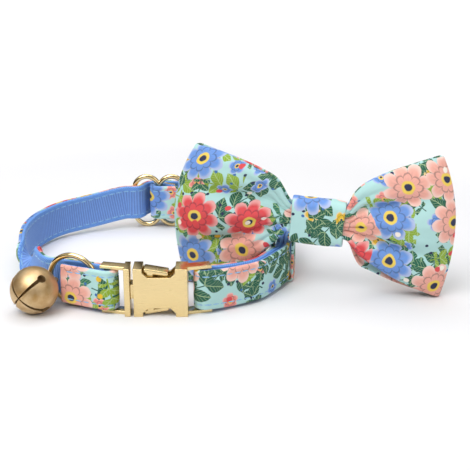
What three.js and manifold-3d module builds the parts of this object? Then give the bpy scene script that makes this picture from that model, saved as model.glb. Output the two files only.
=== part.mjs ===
// Pet bow tie collar. Millimetres and degrees, +Z up.
// The origin is the centre of the neck loop on the surface that the collar stands on.
// +X is to the right, and the buckle is at the front, on the -Y side.

import * as THREE from 'three';
import { mergeVertices } from 'three/addons/utils/BufferGeometryUtils.js';
import Module from 'manifold-3d';

const wasm = await Module();
wasm.setup();

// Driving dimensions

const CLEARANCE = 0.3;
const FLOOR_GAP = 0.4;

const LOOP = { halfWidth: 52, halfDepth: 46 };

const STRAP = {
  width: 14.2,
  cover: 1.0,
  liningWidth: 13.9,
  lining: 1.0,
  layGap: 0.4,
};

const BUCKLE = {
  depth: 7.6,
  frontY: 0.5 - LOOP.halfDepth,
  wall: 1.0,
  endWall: 2.4,
  socketLeft: -5.0,
  socketRight: 13.2,
  mouthGap: 1.1,
  plateThick: 2.0,
  armThick: 1.2,
  armDepth: 4.0,
  barRadius: 1.2,
  plugReach: 5.9,
  socketReach: 5.6,
  plugSetback: 1.5,
  socketSetback: 1.8,
  notchLeft: 3.1,
  notchWidth: 11,
  notchDeep: 3.1,
  notchChamfer: 1.8,
  tongueLength: 14.5,
  tongueHeight: 5.0,
};

const LEVER = {
  length: 8.4,
  thick: 1.5,
  start: 0.5,
  slope: 10,
  footLength: 2.4,
  corner: 0.52,
};

const RING = { outer: 19.4, wire: 1.9, along: 4.3, turn: 19 };
const FLAP = { length: 15.8, turn: 22 };

const SLIDER = { x: -2.5, y: LOOP.halfDepth, height: 22.8, pitch: 10.4, wire: 2.0 };

const BELL = {
  outer: 16.2,
  wall: 0.7,
  azimuth: 62,
  hold: 10,
  slitTurn: -42,
  slitEnd: 76,
  slitNarrow: 0.4,
  slitWide: 1.3,
  hole: 2.9,
  hangerRadius: 1.85,
  hangerWire: 1.1,
  pea: 4.2,
};

const BOW = {
  side: 1.077,
  depth: -0.4565,
  turn: -9,
  halfLength: 49,
  height: 52,
  cloth: 1.2,
  bulge: 3.6,
  closing: 0.8,
  backShort: 1.6,
  pleat: 2.0,
  pinchDepth: 1.4,
  valley: 0.42,
};

const KNOT = {
  shift: 2,
  width: 19.4,
  height: 16.8,
  depth: 8,
  cloth: 1.2,
  centre: 25.7,
  corner: 3.0,
  tilt: 4,
};

const BACK_LOOP = { ease: 0.8, band: 8, thick: 1.0, top: 27.8, corner: 1.3 };

// Tables. Lengths are shares of the size named beside each table

// The flap from its end to the fold on the plug bar, and the strap from the fold on behind
// the leash ring. along: of FLAP.length, away: from the bar's line in fold radii,
// drop: of STRAP.width below the buckle's middle
const FLAP_RUN = [
  { along: 1.0, away: 1.20, drop: -0.035, roll: 3 },
  { along: 0.78, away: 1.15, drop: -0.02, roll: 2 },
  { along: 0.52, away: 1.07, drop: -0.01, roll: 1 },
  { along: 0.26, away: 1.0, drop: 0, roll: 0 },
];
const BEHIND_RING = [
  { along: 0.33, away: 1.0, drop: 0, roll: 0 },
  { along: 0.71, away: 1.06, drop: 0.01, roll: 0 },
  { along: 1.09, away: 1.22, drop: 0.03, roll: 0 },
  { along: 1.32, away: 1.34, drop: 0.05, roll: 1 },
];

// The strap's middle line from the leash ring round the back to the slider.
// side: of LOOP.halfWidth, depth: of LOOP.halfDepth, lift: of the slider's rise,
// roll: turn of the strap about its own line, 0 with the lining outwards, 180 with the print
// outwards, width: of STRAP.width, less where the cloth is folded up in its half twist
const LEFT_RUN = [
  { side: -0.695, depth: -0.600, roll: 0, width: 1, lift: 0.05 },
  { side: -0.775, depth: -0.490, roll: 4, width: 1, lift: 0.04 },
  { side: -0.842, depth: -0.355, roll: 20, width: 0.97, lift: 0.03 },
  { side: -0.880, depth: -0.275, roll: 88, width: 0.50, lift: 0.03 },
  { side: -0.915, depth: -0.190, roll: 158, width: 0.88, lift: 0.02 },
  { side: -0.960, depth: -0.035, roll: 176, width: 1, lift: 0.0 },
  { side: -0.980, depth: 0.155, roll: 180, width: 1, lift: 0.0 },
  { side: -0.958, depth: 0.360, roll: 180, width: 1, lift: 0.02 },
  { side: -0.904, depth: 0.533, roll: 180, width: 1, lift: 0.06 },
  { side: -0.798, depth: 0.700, roll: 180, width: 1, lift: 0.16 },
  { side: -0.588, depth: 0.845, roll: 180, width: 1, lift: 0.40 },
];
// Length between the sections of the strap, and the most degrees that it turns about its own
// line from one section to the next
const STRAP_STEP = 4;
const TWIST_STEP = 12;

// The strap from the slider round the right side to the socket bar.
// apart: how far inside it the returning layer runs, in lay distances
const RIGHT_RUN = [
  { side: 0.300, depth: 1.035, lift: 0.85, apart: 1.55 },
  { side: 0.470, depth: 0.945, lift: 0.70, apart: 1.12 },
  { side: 0.640, depth: 0.800, lift: 0.58, apart: 1.0 },
  { side: 0.795, depth: 0.600, lift: 0.46, apart: 1.0 },
  { side: 0.913, depth: 0.370, lift: 0.36, apart: 1.0 },
  { side: 0.972, depth: 0.150, lift: 0.30, apart: 1.0 },
  { side: 0.960, depth: -0.010, lift: 0.28, apart: 1.0 },
  { side: 0.930, depth: -0.165, lift: 0.25, apart: 1.0 },
  { side: 0.907, depth: -0.366, lift: 0.20, apart: 1.0 },
  { side: 0.822, depth: -0.536, lift: 0.16, apart: 1.0 },
  { side: 0.720, depth: -0.695, lift: 0.14, apart: 1.0 },
  { side: 0.583, depth: -0.797, lift: 0.14, apart: 1.15 },
  { side: 0.462, depth: -0.871, lift: 0.18, apart: 1.55 },
];

// How the strap passes through the slider. across: in slider pitches from the centre bar.
// through: -1 just inside the slider's wires, 1 just outside the sewn end on the centre bar
const WEAVE = [
  { across: -1.32, through: -1.00 },
  { across: -1.04, through: -0.98 },
  { across: -0.81, through: -0.76 },
  { across: -0.68, through: -0.05 },
  { across: -0.60, through: 0.42 },
  { across: -0.44, through: 0.84 },
  { across: -0.14, through: 1.04 },
  { across: 0.22, through: 1.04 },
  { across: 0.60, through: 0.92 },
  { across: 1.02, through: 0.74 },
];

// The sewn end past the centre bar. across: in slider pitches, away: in bar passes
const SEWN_TAIL = [
  { across: 0.165, away: 0.88 },
  { across: 0.340, away: 0.42 },
  { across: 0.500, away: 0.10 },
  { across: 0.600, away: 0.02 },
];

// The wings of the bow. along: of the half length, top, bottom: of the height,
// depth: of the bulge past the pinch, pleat: of the pleat depth, backDrop: of the height.
// The bulge closes towards the edges by BOW.closing
const RIGHT_WING = [
  { along: 0.00, top: 0.612, bottom: 0.420, depth: 0.00, pleat: 0.30, backDrop: 0.00 },
  { along: 0.285, top: 0.596, bottom: 0.388, depth: 0.03, pleat: 0.30, backDrop: 0.01 },
  { along: 0.31, top: 0.668, bottom: 0.352, depth: 0.08, pleat: 0.45, backDrop: 0.04 },
  { along: 0.37, top: 0.742, bottom: 0.286, depth: 0.26, pleat: 0.85, backDrop: 0.10 },
  { along: 0.45, top: 0.800, bottom: 0.240, depth: 0.52, pleat: 1.00, backDrop: 0.09 },
  { along: 0.60, top: 0.875, bottom: 0.156, depth: 0.88, pleat: 0.95, backDrop: 0.07 },
  { along: 0.80, top: 0.946, bottom: 0.073, depth: 0.96, pleat: 0.60, backDrop: 0.045 },
  { along: 0.92, top: 0.974, bottom: 0.030, depth: 0.45, pleat: 0.30, backDrop: 0.02 },
  { along: 1.00, top: 0.984, bottom: 0.000, depth: -0.36, pleat: 0.00, backDrop: 0.00 },
];
const LEFT_WING = [
  { along: 0.00, top: 0.612, bottom: 0.420, depth: 0.00, pleat: 0.30, backDrop: 0.00 },
  { along: 0.19, top: 0.616, bottom: 0.425, depth: 0.02, pleat: 0.30, backDrop: 0.00 },
  { along: 0.30, top: 0.767, bottom: 0.338, depth: 0.16, pleat: 0.85, backDrop: 0.015 },
  { along: 0.45, top: 0.848, bottom: 0.225, depth: 0.50, pleat: 1.00, backDrop: 0.06 },
  { along: 0.60, top: 0.910, bottom: 0.145, depth: 0.86, pleat: 0.95, backDrop: 0.05 },
  { along: 0.80, top: 0.971, bottom: 0.080, depth: 0.96, pleat: 0.60, backDrop: 0.035 },
  { along: 0.92, top: 0.994, bottom: 0.032, depth: 0.45, pleat: 0.30, backDrop: 0.015 },
  { along: 1.00, top: 1.000, bottom: 0.000, depth: -0.36, pleat: 0.00, backDrop: 0.00 },
];
// How far the wing's end draws in at its corners, of the half length
const RIGHT_CORNERS = { top: 0.116, bottom: 0.078 };
const LEFT_CORNERS = { top: 0.172, bottom: 0.080 };
const WING_STEPS = [0, 0.1, 0.19, 0.24, 0.285, 0.31, 0.36, 0.42, 0.5, 0.6, 0.7, 0.8, 0.88, 0.94, 0.98, 1];
const WING_ROWS = 14;

// Steps round a strap fold, steps round an oval's end and the degrees wrapped at the socket
const FOLD_STEPS = 9;
const OVAL_STEPS = 10;
const SOCKET_WRAP = 205;

// Colours, from the photograph

const COLOURS = {
  print: 0xbfe0d8,
  ribbon: 0x6e96d7,
  gold: 0xe6cf9a,
  brass: 0xb9975b,
};

function finish(colour, roughness, metalness) {
  return new THREE.MeshStandardMaterial({ color: colour, roughness, metalness });
}

function piece(name, geometry, material, parent) {
  const mesh = new THREE.Mesh(geometry, material);
  mesh.name = name;
  parent.add(mesh);
  return mesh;
}

// Mesh helpers

function signedVolume(points, triangles) {
  let sum = 0;
  for (let i = 0; i < triangles.length; i += 3) {
    const [a, b, c] = [points[triangles[i]], points[triangles[i + 1]], points[triangles[i + 2]]];
    sum += a.dot(new THREE.Vector3().crossVectors(b, c));
  }
  return sum / 6;
}

// A solid through a row of sections with the same number of points. It is a closed ring,
// or it has its first and last section filled in
function loft(sections, closed) {
  const sides = sections[0].length;
  const points = sections.flat();
  const triangles = [];
  const spans = closed ? sections.length : sections.length - 1;
  for (let i = 0; i < spans; i++) {
    const next = (i + 1) % sections.length;
    for (let j = 0; j < sides; j++) {
      const k = (j + 1) % sides;
      const [a, b, c, d] = [i * sides + j, i * sides + k, next * sides + k, next * sides + j];
      triangles.push(a, b, c, a, c, d);
    }
  }
  if (!closed) {
    const last = (sections.length - 1) * sides;
    for (let j = 1; j < sides - 1; j++) {
      triangles.push(0, j + 1, j, last, last + j, last + j + 1);
    }
  }
  if (signedVolume(points, triangles) < 0) {
    triangles.reverse();
  }
  const geometry = new THREE.BufferGeometry();
  const places = points.flatMap((point) => point.toArray());
  geometry.setAttribute('position', new THREE.Float32BufferAttribute(places, 3));
  geometry.setIndex(triangles);
  return geometry;
}

function toSolid(geometry) {
  const bare = geometry.clone();
  bare.deleteAttribute('normal');
  bare.deleteAttribute('uv');
  const merged = mergeVertices(bare, 1e-4);
  return new wasm.Manifold(new wasm.Mesh({
    numProp: 3,
    vertProperties: new Float32Array(merged.attributes.position.array),
    triVerts: new Uint32Array(merged.index.array),
  }));
}

function toGeometry(solid) {
  const mesh = solid.getMesh();
  const geometry = new THREE.BufferGeometry();
  geometry.setAttribute('position', new THREE.Float32BufferAttribute(mesh.vertProperties, 3));
  geometry.setIndex(new THREE.Uint32BufferAttribute(mesh.triVerts, 1));
  return geometry;
}

function box(x0, x1, y0, y1, z0, z1) {
  const geometry = new THREE.BoxGeometry(x1 - x0, y1 - y0, z1 - z0);
  return geometry.translate((x0 + x1) / 2, (y0 + y1) / 2, (z0 + z1) / 2);
}

function roundedRect(width, height, radius, type = THREE.Shape) {
  const [w, h] = [width / 2, height / 2];
  const path = new type();
  path.absarc(w - radius, h - radius, radius, 0, Math.PI / 2, false);
  path.absarc(-w + radius, h - radius, radius, Math.PI / 2, Math.PI, false);
  path.absarc(-w + radius, -h + radius, radius, Math.PI, Math.PI * 1.5, false);
  path.absarc(w - radius, -h + radius, radius, Math.PI * 1.5, Math.PI * 2, false);
  path.closePath();
  return path;
}

function radians(degrees) {
  return THREE.MathUtils.degToRad(degrees);
}

// A value between the rows of a table, smooth through each row
function between(rows, at, column, s) {
  let i = rows.findIndex((row) => row[at] >= s);
  i = Math.max(1, i < 0 ? rows.length - 1 : i);
  const slope = (j) => {
    const [a, b] = [rows[Math.max(0, j - 1)], rows[Math.min(rows.length - 1, j + 1)]];
    return (b[column] - a[column]) / (b[at] - a[at]);
  };
  const [p, q] = [rows[i - 1], rows[i]];
  const span = q[at] - p[at];
  const t = (s - p[at]) / span;
  const [t2, t3] = [t * t, t * t * t];
  return (2 * t3 - 3 * t2 + 1) * p[column] + (t3 - 2 * t2 + t) * span * slope(i - 1)
    + (3 * t2 - 2 * t3) * q[column] + (t3 - t2) * span * slope(i);
}

// The strap's path

const strapThick = STRAP.cover + CLEARANCE + STRAP.lining;
const strapHalf = strapThick / 2;
const layDistance = strapThick + STRAP.layGap;
const buckleMidY = BUCKLE.frontY + BUCKLE.depth / 2;
const buckleHeight = STRAP.width + 2 * (CLEARANCE + BUCKLE.armThick);
const buckleMidZ = buckleHeight / 2;
const sliderWire = SLIDER.wire / 2;
const sliderMidZ = SLIDER.height / 2;
const sliderRadius = SLIDER.pitch / 2;
const sliderStraight = sliderMidZ - sliderWire - sliderRadius;
// How far the two ovals have parted from the centre bar at the strap's edges
const sliderSpread = sliderRadius
  - Math.sqrt(sliderRadius ** 2 - Math.max(0, STRAP.width / 2 - sliderStraight) ** 2);
const foldRadius = BUCKLE.barRadius + CLEARANCE + strapHalf;
const plugRight = BUCKLE.socketLeft - BUCKLE.mouthGap;
const plugBar = new THREE.Vector2(
  plugRight - BUCKLE.plateThick - BUCKLE.plugReach, buckleMidY + BUCKLE.plugSetback);
const socketBar = new THREE.Vector2(
  BUCKLE.socketRight + BUCKLE.socketReach, buckleMidY + BUCKLE.socketSetback);
const sliderBar = new THREE.Vector2(SLIDER.x, SLIDER.y);
const flapAlong = new THREE.Vector2(-Math.cos(radians(FLAP.turn)), Math.sin(radians(FLAP.turn)));
const flapOut = new THREE.Vector2(-flapAlong.y, flapAlong.x);

function liftedZ(lift) {
  const lowest = STRAP.width / 2 + FLOOR_GAP;
  return lowest + lift * (sliderMidZ - lowest);
}

function degrees(angle) {
  return THREE.MathUtils.radToDeg(angle);
}

function onLoop(row) {
  return new THREE.Vector2(row.side * LOOP.halfWidth, row.depth * LOOP.halfDepth);
}

function onPlan(origin, first, a, second, b) {
  return origin.clone().addScaledVector(first, a).addScaledVector(second, b);
}

function arcPoints(centre, radius, from, to, steps) {
  return Array.from({ length: steps + 1 }, (_, i) => {
    const angle = radians(from + (to - from) * i / steps);
    return new THREE.Vector2(centre.x + radius * Math.cos(angle), centre.y + radius * Math.sin(angle));
  });
}

// All points of the strap's middle line with height and roll, from the flap beside the
// plug, round the loop and the socket bar, to the end sewn on the slider
function strapStations() {
  const stations = [];
  const add = (plan, z, roll, width = 1) => stations.push({ x: plan.x, y: plan.y, z, roll, width });

  for (const row of FLAP_RUN) {
    add(onPlan(plugBar, flapAlong, row.along * FLAP.length, flapOut, row.away * foldRadius),
      buckleMidZ - row.drop * STRAP.width, row.roll);
  }
  const start = degrees(flapOut.angle());
  for (const p of arcPoints(plugBar, foldRadius, start, start + 180, FOLD_STEPS)) {
    add(p, buckleMidZ, 0);
  }
  for (const row of BEHIND_RING) {
    add(onPlan(plugBar, flapAlong, row.along * FLAP.length, flapOut, -row.away * foldRadius),
      buckleMidZ - row.drop * STRAP.width, row.roll);
  }
  for (const row of LEFT_RUN) {
    add(onLoop(row), liftedZ(row.lift), row.roll, row.width);
  }
  const barPass = sliderWire + CLEARANCE + strapHalf + sliderSpread;
  const outerPass = barPass + strapThick + CLEARANCE;
  const addAtSlider = (across, offset) => {
    add(new THREE.Vector2(SLIDER.x + across * SLIDER.pitch, SLIDER.y + offset), sliderMidZ, 180);
  };
  for (const row of WEAVE) {
    addAtSlider(row.across, row.through * (row.through < 0 ? barPass : outerPass));
  }
  const outer = RIGHT_RUN.map(onLoop);
  outer.forEach((p, i) => add(p, liftedZ(RIGHT_RUN[i].lift), 180));

  const last = outer[outer.length - 1];
  const lead = new THREE.Vector2().subVectors(last, socketBar).angle();
  const meets = degrees(lead - Math.acos(foldRadius / last.distanceTo(socketBar)));
  for (const p of arcPoints(socketBar, foldRadius, meets, meets - SOCKET_WRAP, FOLD_STEPS)) {
    add(p, buckleMidZ, 180);
  }
  for (let i = outer.length - 1; i >= 0; i--) {
    const [a, b] = [outer[Math.max(0, i - 1)], outer[Math.min(outer.length - 1, i + 1)]];
    const course = b.clone().sub(a).normalize();
    const inward = new THREE.Vector2(course.y, -course.x).multiplyScalar(RIGHT_RUN[i].apart * layDistance);
    add(outer[i].clone().add(inward), liftedZ(RIGHT_RUN[i].lift), 180);
  }
  addAtSlider(1, -barPass);
  addAtSlider(0.5, -barPass);
  for (const p of arcPoints(sliderBar, barPass, 270, 90, FOLD_STEPS)) {
    add(p, sliderMidZ, 180);
  }
  for (const row of SEWN_TAIL) {
    addAtSlider(row.across, row.away * barPass);
  }
  return stations;
}

// Frames along the strap: its middle, the way its print faces, and the way and share of its width
function strapFrames() {
  const stations = strapStations();
  const middles = stations.map((s) => new THREE.Vector3(s.x, s.y, s.z));
  const curve = new THREE.CatmullRomCurve3(middles, false, 'centripetal');
  const spans = stations.length - 1;
  const frames = [];
  const addFrame = (i, share) => {
    const t = (i + share) / spans;
    const along = curve.getTangent(t);
    const [here, next] = [stations[i], stations[Math.min(i + 1, spans)]];
    const roll = THREE.MathUtils.lerp(here.roll, next.roll, share);
    const shareOfWidth = THREE.MathUtils.lerp(here.width, next.width, share);
    const side = new THREE.Vector3().crossVectors(along, new THREE.Vector3(0, 0, 1)).normalize();
    const up = new THREE.Vector3().crossVectors(side, along);
    const width = up.clone().multiplyScalar(Math.cos(radians(roll)));
    width.addScaledVector(side, Math.sin(radians(roll)));
    const print = new THREE.Vector3().crossVectors(along, width);
    frames.push({ middle: curve.getPoint(t), print, width: width.multiplyScalar(shareOfWidth) });
  };
  for (let i = 0; i < spans; i++) {
    const [a, b] = [stations[i], stations[i + 1]];
    const turns = Math.ceil(Math.abs(b.roll - a.roll) / TWIST_STEP);
    const count = Math.max(1, turns, Math.round(Math.hypot(b.x - a.x, b.y - a.y) / STRAP_STEP));
    for (let j = 0; j < count; j++) {
      addFrame(i, j / count);
    }
  }
  addFrame(spans, 0);
  return frames;
}

// One cloth layer of the strap, between two distances from the middle towards the print
function strapLayer(frames, width, near, far) {
  const corners = [[near, -1], [near, 1], [far, 1], [far, -1]];
  return loft(frames.map((frame) => corners.map(([away, side]) => frame.middle.clone()
    .addScaledVector(frame.print, away)
    .addScaledVector(frame.width, side * width / 2))), false);
}

// Metal parts

// A round wire along a closed path of points that lies in the XZ plane
function closedWire(points, radius, sides) {
  const sections = points.map((point, i) => {
    const before = points[(i + points.length - 1) % points.length];
    const after = points[(i + 1) % points.length];
    const along = new THREE.Vector3().subVectors(after, before).normalize();
    const across = new THREE.Vector3().crossVectors(along, new THREE.Vector3(0, 1, 0));
    return Array.from({ length: sides }, (_, j) => {
      const angle = 2 * Math.PI * (j + 0.5) / sides;
      return point.clone()
        .addScaledVector(across, radius * Math.cos(angle))
        .addScaledVector(new THREE.Vector3(0, 1, 0), radius * Math.sin(angle));
    });
  });
  return loft(sections, true);
}

function makeSlider() {
  const oval = [];
  for (const [way, from] of [[1, 0], [-1, 180]]) {
    for (let i = 0; i <= OVAL_STEPS; i++) {
      const angle = radians(from + 180 * i / OVAL_STEPS);
      oval.push(new THREE.Vector3(
        sliderRadius * Math.cos(angle), 0, way * sliderStraight + sliderRadius * Math.sin(angle)));
    }
  }
  const wire = toSolid(closedWire(oval, sliderWire, 10));
  const pair = wire.translate([-sliderRadius, 0, 0]).add(wire.translate([sliderRadius, 0, 0]));
  return toGeometry(pair).translate(SLIDER.x, SLIDER.y, sliderMidZ);
}

// An arm of the buckle in plan: a strip from the body to just past the strap bar
function buckleArm(fromX, bar, z) {
  const from = new THREE.Vector2(fromX, buckleMidY);
  const half = BUCKLE.armDepth / 2;
  const along = bar.clone().sub(from).normalize();
  const side = new THREE.Vector2(-along.y, along.x);
  const end = bar.clone().addScaledVector(along, half);
  const shape = new THREE.Shape([
    from.clone().addScaledVector(side, -half),
    end.clone().addScaledVector(side, -half),
    end.clone().addScaledVector(side, half),
    from.clone().addScaledVector(side, half),
  ]);
  const geometry = new THREE.ExtrudeGeometry(shape, { depth: BUCKLE.armThick, bevelEnabled: false });
  return toSolid(geometry.translate(0, 0, z));
}

// The two arms and the bar that the strap folds round
function strapEnd(fromX, bar) {
  const { barRadius, armThick } = BUCKLE;
  const post = new THREE.CylinderGeometry(barRadius, barRadius, buckleHeight - armThick, 14);
  post.rotateX(Math.PI / 2).translate(bar.x, bar.y, buckleMidZ);
  return buckleArm(fromX, bar, 0)
    .add(buckleArm(fromX, bar, buckleHeight - armThick))
    .add(toSolid(post));
}

function makeSocket() {
  const { notchLeft, notchWidth, notchDeep, notchChamfer, socketLeft, socketRight, wall, endWall } = BUCKLE;
  const height = buckleHeight;
  const backY = BUCKLE.frontY + BUCKLE.depth;
  const notch = (edge, inner) => {
    const [a, b] = [socketLeft + notchLeft, socketLeft + notchLeft + notchWidth];
    const lean = inner < edge ? notchChamfer : -notchChamfer;
    return [[a, edge], [a, inner + lean], [a + notchChamfer, inner],
      [b - notchChamfer, inner], [b, inner + lean], [b, edge]];
  };
  const shape = new THREE.Shape();
  shape.moveTo(socketLeft, 0);
  notch(0, notchDeep).forEach(([x, z]) => shape.lineTo(x, z));
  shape.lineTo(socketRight, 0);
  shape.lineTo(socketRight, height);
  notch(height, height - notchDeep).reverse().forEach(([x, z]) => shape.lineTo(x, z));
  shape.lineTo(socketLeft, height);
  shape.closePath();
  const body = new THREE.ExtrudeGeometry(shape, { depth: BUCKLE.depth, bevelEnabled: false });
  body.rotateX(Math.PI / 2).translate(0, backY, 0);
  const hollow = box(
    socketLeft - wall, socketRight - endWall, BUCKLE.frontY + wall, backY - wall, wall, height - wall);
  const shell = toSolid(body).subtract(toSolid(hollow));
  return toGeometry(shell.add(strapEnd(socketRight - endWall / 2, socketBar)));
}

const tongueBase = buckleMidZ - BUCKLE.tongueHeight / 2;
const tongueTop = buckleMidZ + BUCKLE.tongueHeight / 2;
const innerHalfDepth = BUCKLE.depth / 2 - BUCKLE.wall - CLEARANCE;

function makePlug() {
  const plateLeft = plugRight - BUCKLE.plateThick;
  const backY = BUCKLE.frontY + BUCKLE.depth;
  const plate = box(plateLeft, plugRight, BUCKLE.frontY, backY, 0, buckleHeight);
  const tongue = box(plugRight - BUCKLE.plateThick / 2, plugRight + BUCKLE.tongueLength,
    buckleMidY - innerHalfDepth, buckleMidY + innerHalfDepth, tongueBase, tongueTop);
  const head = toSolid(plate).add(toSolid(tongue));
  return toGeometry(head.add(strapEnd(plateLeft + BUCKLE.plateThick / 2, plugBar)));
}

// A spring lever: a sloping press plate on a foot that stands on the plug's tongue
function makeLever(up) {
  const left = BUCKLE.socketLeft + BUCKLE.notchLeft + LEVER.start;
  const head = new THREE.ExtrudeGeometry(roundedRect(LEVER.length, LEVER.thick, LEVER.corner),
    { depth: 2 * innerHalfDepth, bevelEnabled: false, curveSegments: 4 });
  head.translate(LEVER.length / 2, -LEVER.thick / 2, -innerHalfDepth).rotateX(Math.PI / 2);
  head.rotateY(radians(LEVER.slope)).translate(left, buckleMidY, buckleHeight - CLEARANCE);
  const footTop = buckleHeight - CLEARANCE - LEVER.thick;
  const foot = box(left + LEVER.thick / 2, left + LEVER.thick / 2 + LEVER.footLength,
    buckleMidY - innerHalfDepth, buckleMidY + innerHalfDepth, tongueTop + CLEARANCE, footTop);
  const lever = toSolid(head).add(toSolid(foot));
  return toGeometry(up ? lever : lever.mirror([0, 0, 1]).translate([0, 0, buckleHeight]));
}

// The leash ring stands between the flap and the strap, its right side inside the fold
const ringRadius = (RING.outer - RING.wire) / 2;
const ringRight = onPlan(plugBar, flapAlong, RING.along, flapOut, 0);
const ringAlong = new THREE.Vector2(-Math.cos(radians(RING.turn)), Math.sin(radians(RING.turn)));
const ringCentre = ringRight.clone().addScaledVector(ringAlong, ringRadius);

function makeRing() {
  const ring = new THREE.TorusGeometry(ringRadius, RING.wire / 2, 10, 32);
  ring.rotateX(Math.PI / 2).rotateZ(radians(-RING.turn));
  return ring.translate(ringCentre.x, ringCentre.y, RING.outer / 2);
}

// The bell hangs on the ring's left side, BELL.hold degrees below its middle, and rests on the
// surface. Its axis runs from the hanger to the pole where the slits cross
const bellRadius = BELL.outer / 2;
const bellReach = bellRadius + BELL.hangerRadius - BELL.hangerWire / 2;
const holdPlan = ringCentre.clone().addScaledVector(ringAlong, ringRadius * Math.cos(radians(BELL.hold)));
const holdZ = RING.outer / 2 - ringRadius * Math.sin(radians(BELL.hold));
const bellDrop = holdZ - bellRadius;
const bellBack = Math.sqrt(bellReach * bellReach - bellDrop * bellDrop);
const bellAlong = new THREE.Vector3(
  -bellBack * Math.cos(radians(BELL.azimuth)), -bellBack * Math.sin(radians(BELL.azimuth)), -bellDrop);
const bellCentre = new THREE.Vector3(holdPlan.x, holdPlan.y, holdZ).add(bellAlong);

function makeBell() {
  const outside = toSolid(new THREE.SphereGeometry(bellRadius, 32, 20));
  const inside = toSolid(new THREE.SphereGeometry(bellRadius - BELL.wall, 28, 16));
  const hanger = new THREE.TorusGeometry(BELL.hangerRadius, BELL.hangerWire / 2, 8, 18);
  hanger.rotateX(Math.PI / 2).translate(0, 0, -bellReach);
  let bell = outside.add(toSolid(hanger)).subtract(inside);
  const slitFloor = bellRadius * Math.cos(radians(BELL.slitEnd));
  const slitReach = bellRadius * Math.sin(radians(BELL.slitEnd));
  const slit = new THREE.Shape([
    new THREE.Vector2(-BELL.slitNarrow, -BELL.slitNarrow / 2),
    new THREE.Vector2(slitReach, -BELL.slitWide / 2),
    new THREE.Vector2(slitReach, BELL.slitWide / 2),
    new THREE.Vector2(-BELL.slitNarrow, BELL.slitNarrow / 2),
  ]);
  const cutter = new THREE.ExtrudeGeometry(slit, { depth: bellRadius, bevelEnabled: false });
  cutter.translate(0, 0, slitFloor);
  const drill = new THREE.CylinderGeometry(BELL.hole / 2, BELL.hole / 2, bellRadius, 14);
  drill.rotateX(Math.PI / 2).translate(0, 0, bellRadius).rotateY(radians(BELL.slitEnd));
  for (let i = 0; i < 4; i++) {
    const turn = radians(BELL.slitTurn + 90 * i);
    bell = bell.subtract(toSolid(cutter.clone().rotateZ(turn)));
    bell = bell.subtract(toSolid(drill.clone().rotateZ(turn)));
  }
  const axis = bellAlong.clone().normalize();
  const across = new THREE.Vector3().crossVectors(new THREE.Vector3(0, 0, 1), axis).normalize();
  const eye = new THREE.Vector3().crossVectors(axis, across);
  const placed = new THREE.Matrix4().makeBasis(across, eye, axis).setPosition(bellCentre);
  return toGeometry(bell).applyMatrix4(placed);
}

function makePea() {
  const low = BELL.wall + CLEARANCE + BELL.pea / 2;
  return new THREE.SphereGeometry(BELL.pea / 2, 16, 10).translate(bellCentre.x, bellCentre.y, low);
}

// Bow

// A point of the wing's middle surface. way: 1 right, -1 left; face: -1 front, 1 back;
// s: 0 at the pinch to 1 at the end fold; v: -1 bottom edge to 1 top edge
function wingPoint(way, face, s, v) {
  const table = way > 0 ? RIGHT_WING : LEFT_WING;
  const corners = way > 0 ? RIGHT_CORNERS : LEFT_CORNERS;
  const pick = (column) => between(table, 'along', column, s);
  const drawIn = (v > 0 ? corners.top : corners.bottom) * v * v;
  const back = face > 0 ? 1 : 0;
  const top = pick('top') * BOW.height - back * Math.max(0, pick('depth')) * BOW.backShort;
  const bottom = Math.max(0, (pick('bottom') - back * pick('backDrop')) * BOW.height);
  const ripple = Math.cos(Math.PI * v / BOW.valley) * BOW.pleat / 2 * pick('pleat');
  const swell = pick('depth') * BOW.bulge;
  const shut = swell > 0 ? 1 - BOW.closing * v ** 4 : 1;
  const depth = s >= 1 ? 0 : BOW.pinchDepth + swell * shut + ripple;
  return new THREE.Vector3(
    way * s * BOW.halfLength * (1 - drawIn),
    face * depth,
    THREE.MathUtils.lerp(bottom, top, (v + 1) / 2),
  );
}

// One loop of cloth, open at its top and bottom edges, with an end fold at each side
function makeWings() {
  const stops = [];
  for (const s of [...WING_STEPS].reverse()) {
    stops.push([-1, -1, s]);
  }
  for (const s of WING_STEPS.slice(1)) {
    stops.push([1, -1, s]);
  }
  for (const s of [...WING_STEPS].reverse().slice(1)) {
    stops.push([1, 1, s]);
  }
  for (const s of WING_STEPS.slice(1, -1)) {
    stops.push([-1, 1, s]);
  }
  const grid = stops.map(([way, face, s]) => Array.from({ length: WING_ROWS + 1 },
    (_, j) => wingPoint(way, face, s, 2 * j / WING_ROWS - 1)));
  const sections = grid.map((column, i) => {
    const before = grid[(i + grid.length - 1) % grid.length];
    const after = grid[(i + 1) % grid.length];
    const offset = (side) => column.map((point, j) => {
      const around = new THREE.Vector3().subVectors(after[j], before[j]);
      const up = new THREE.Vector3().subVectors(
        column[Math.min(WING_ROWS, j + 1)], column[Math.max(0, j - 1)]);
      const normal = around.cross(up);
      normal.z = 0;
      return point.clone().addScaledVector(normal.normalize(), side * BOW.cloth / 2);
    });
    return [...offset(1), ...offset(-1).reverse()];
  });
  return loft(sections, true);
}

// A flat band bent round into a closed rounded frame, as a shape with a hole
function bandFrame(width, height, thick, corner) {
  const frame = roundedRect(width, height, corner);
  frame.holes.push(roundedRect(width - 2 * thick, height - 2 * thick, corner - thick, THREE.Path));
  return frame;
}

function makeKnot() {
  const band = new THREE.ExtrudeGeometry(bandFrame(KNOT.depth, KNOT.height, KNOT.cloth, KNOT.corner),
    { depth: KNOT.width, bevelEnabled: false, curveSegments: 5 });
  band.rotateX(Math.PI / 2).rotateZ(Math.PI / 2).translate(-KNOT.width / 2, 0, 0);
  return band.rotateY(radians(KNOT.tilt)).translate(KNOT.shift, 0, KNOT.centre);
}

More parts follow.
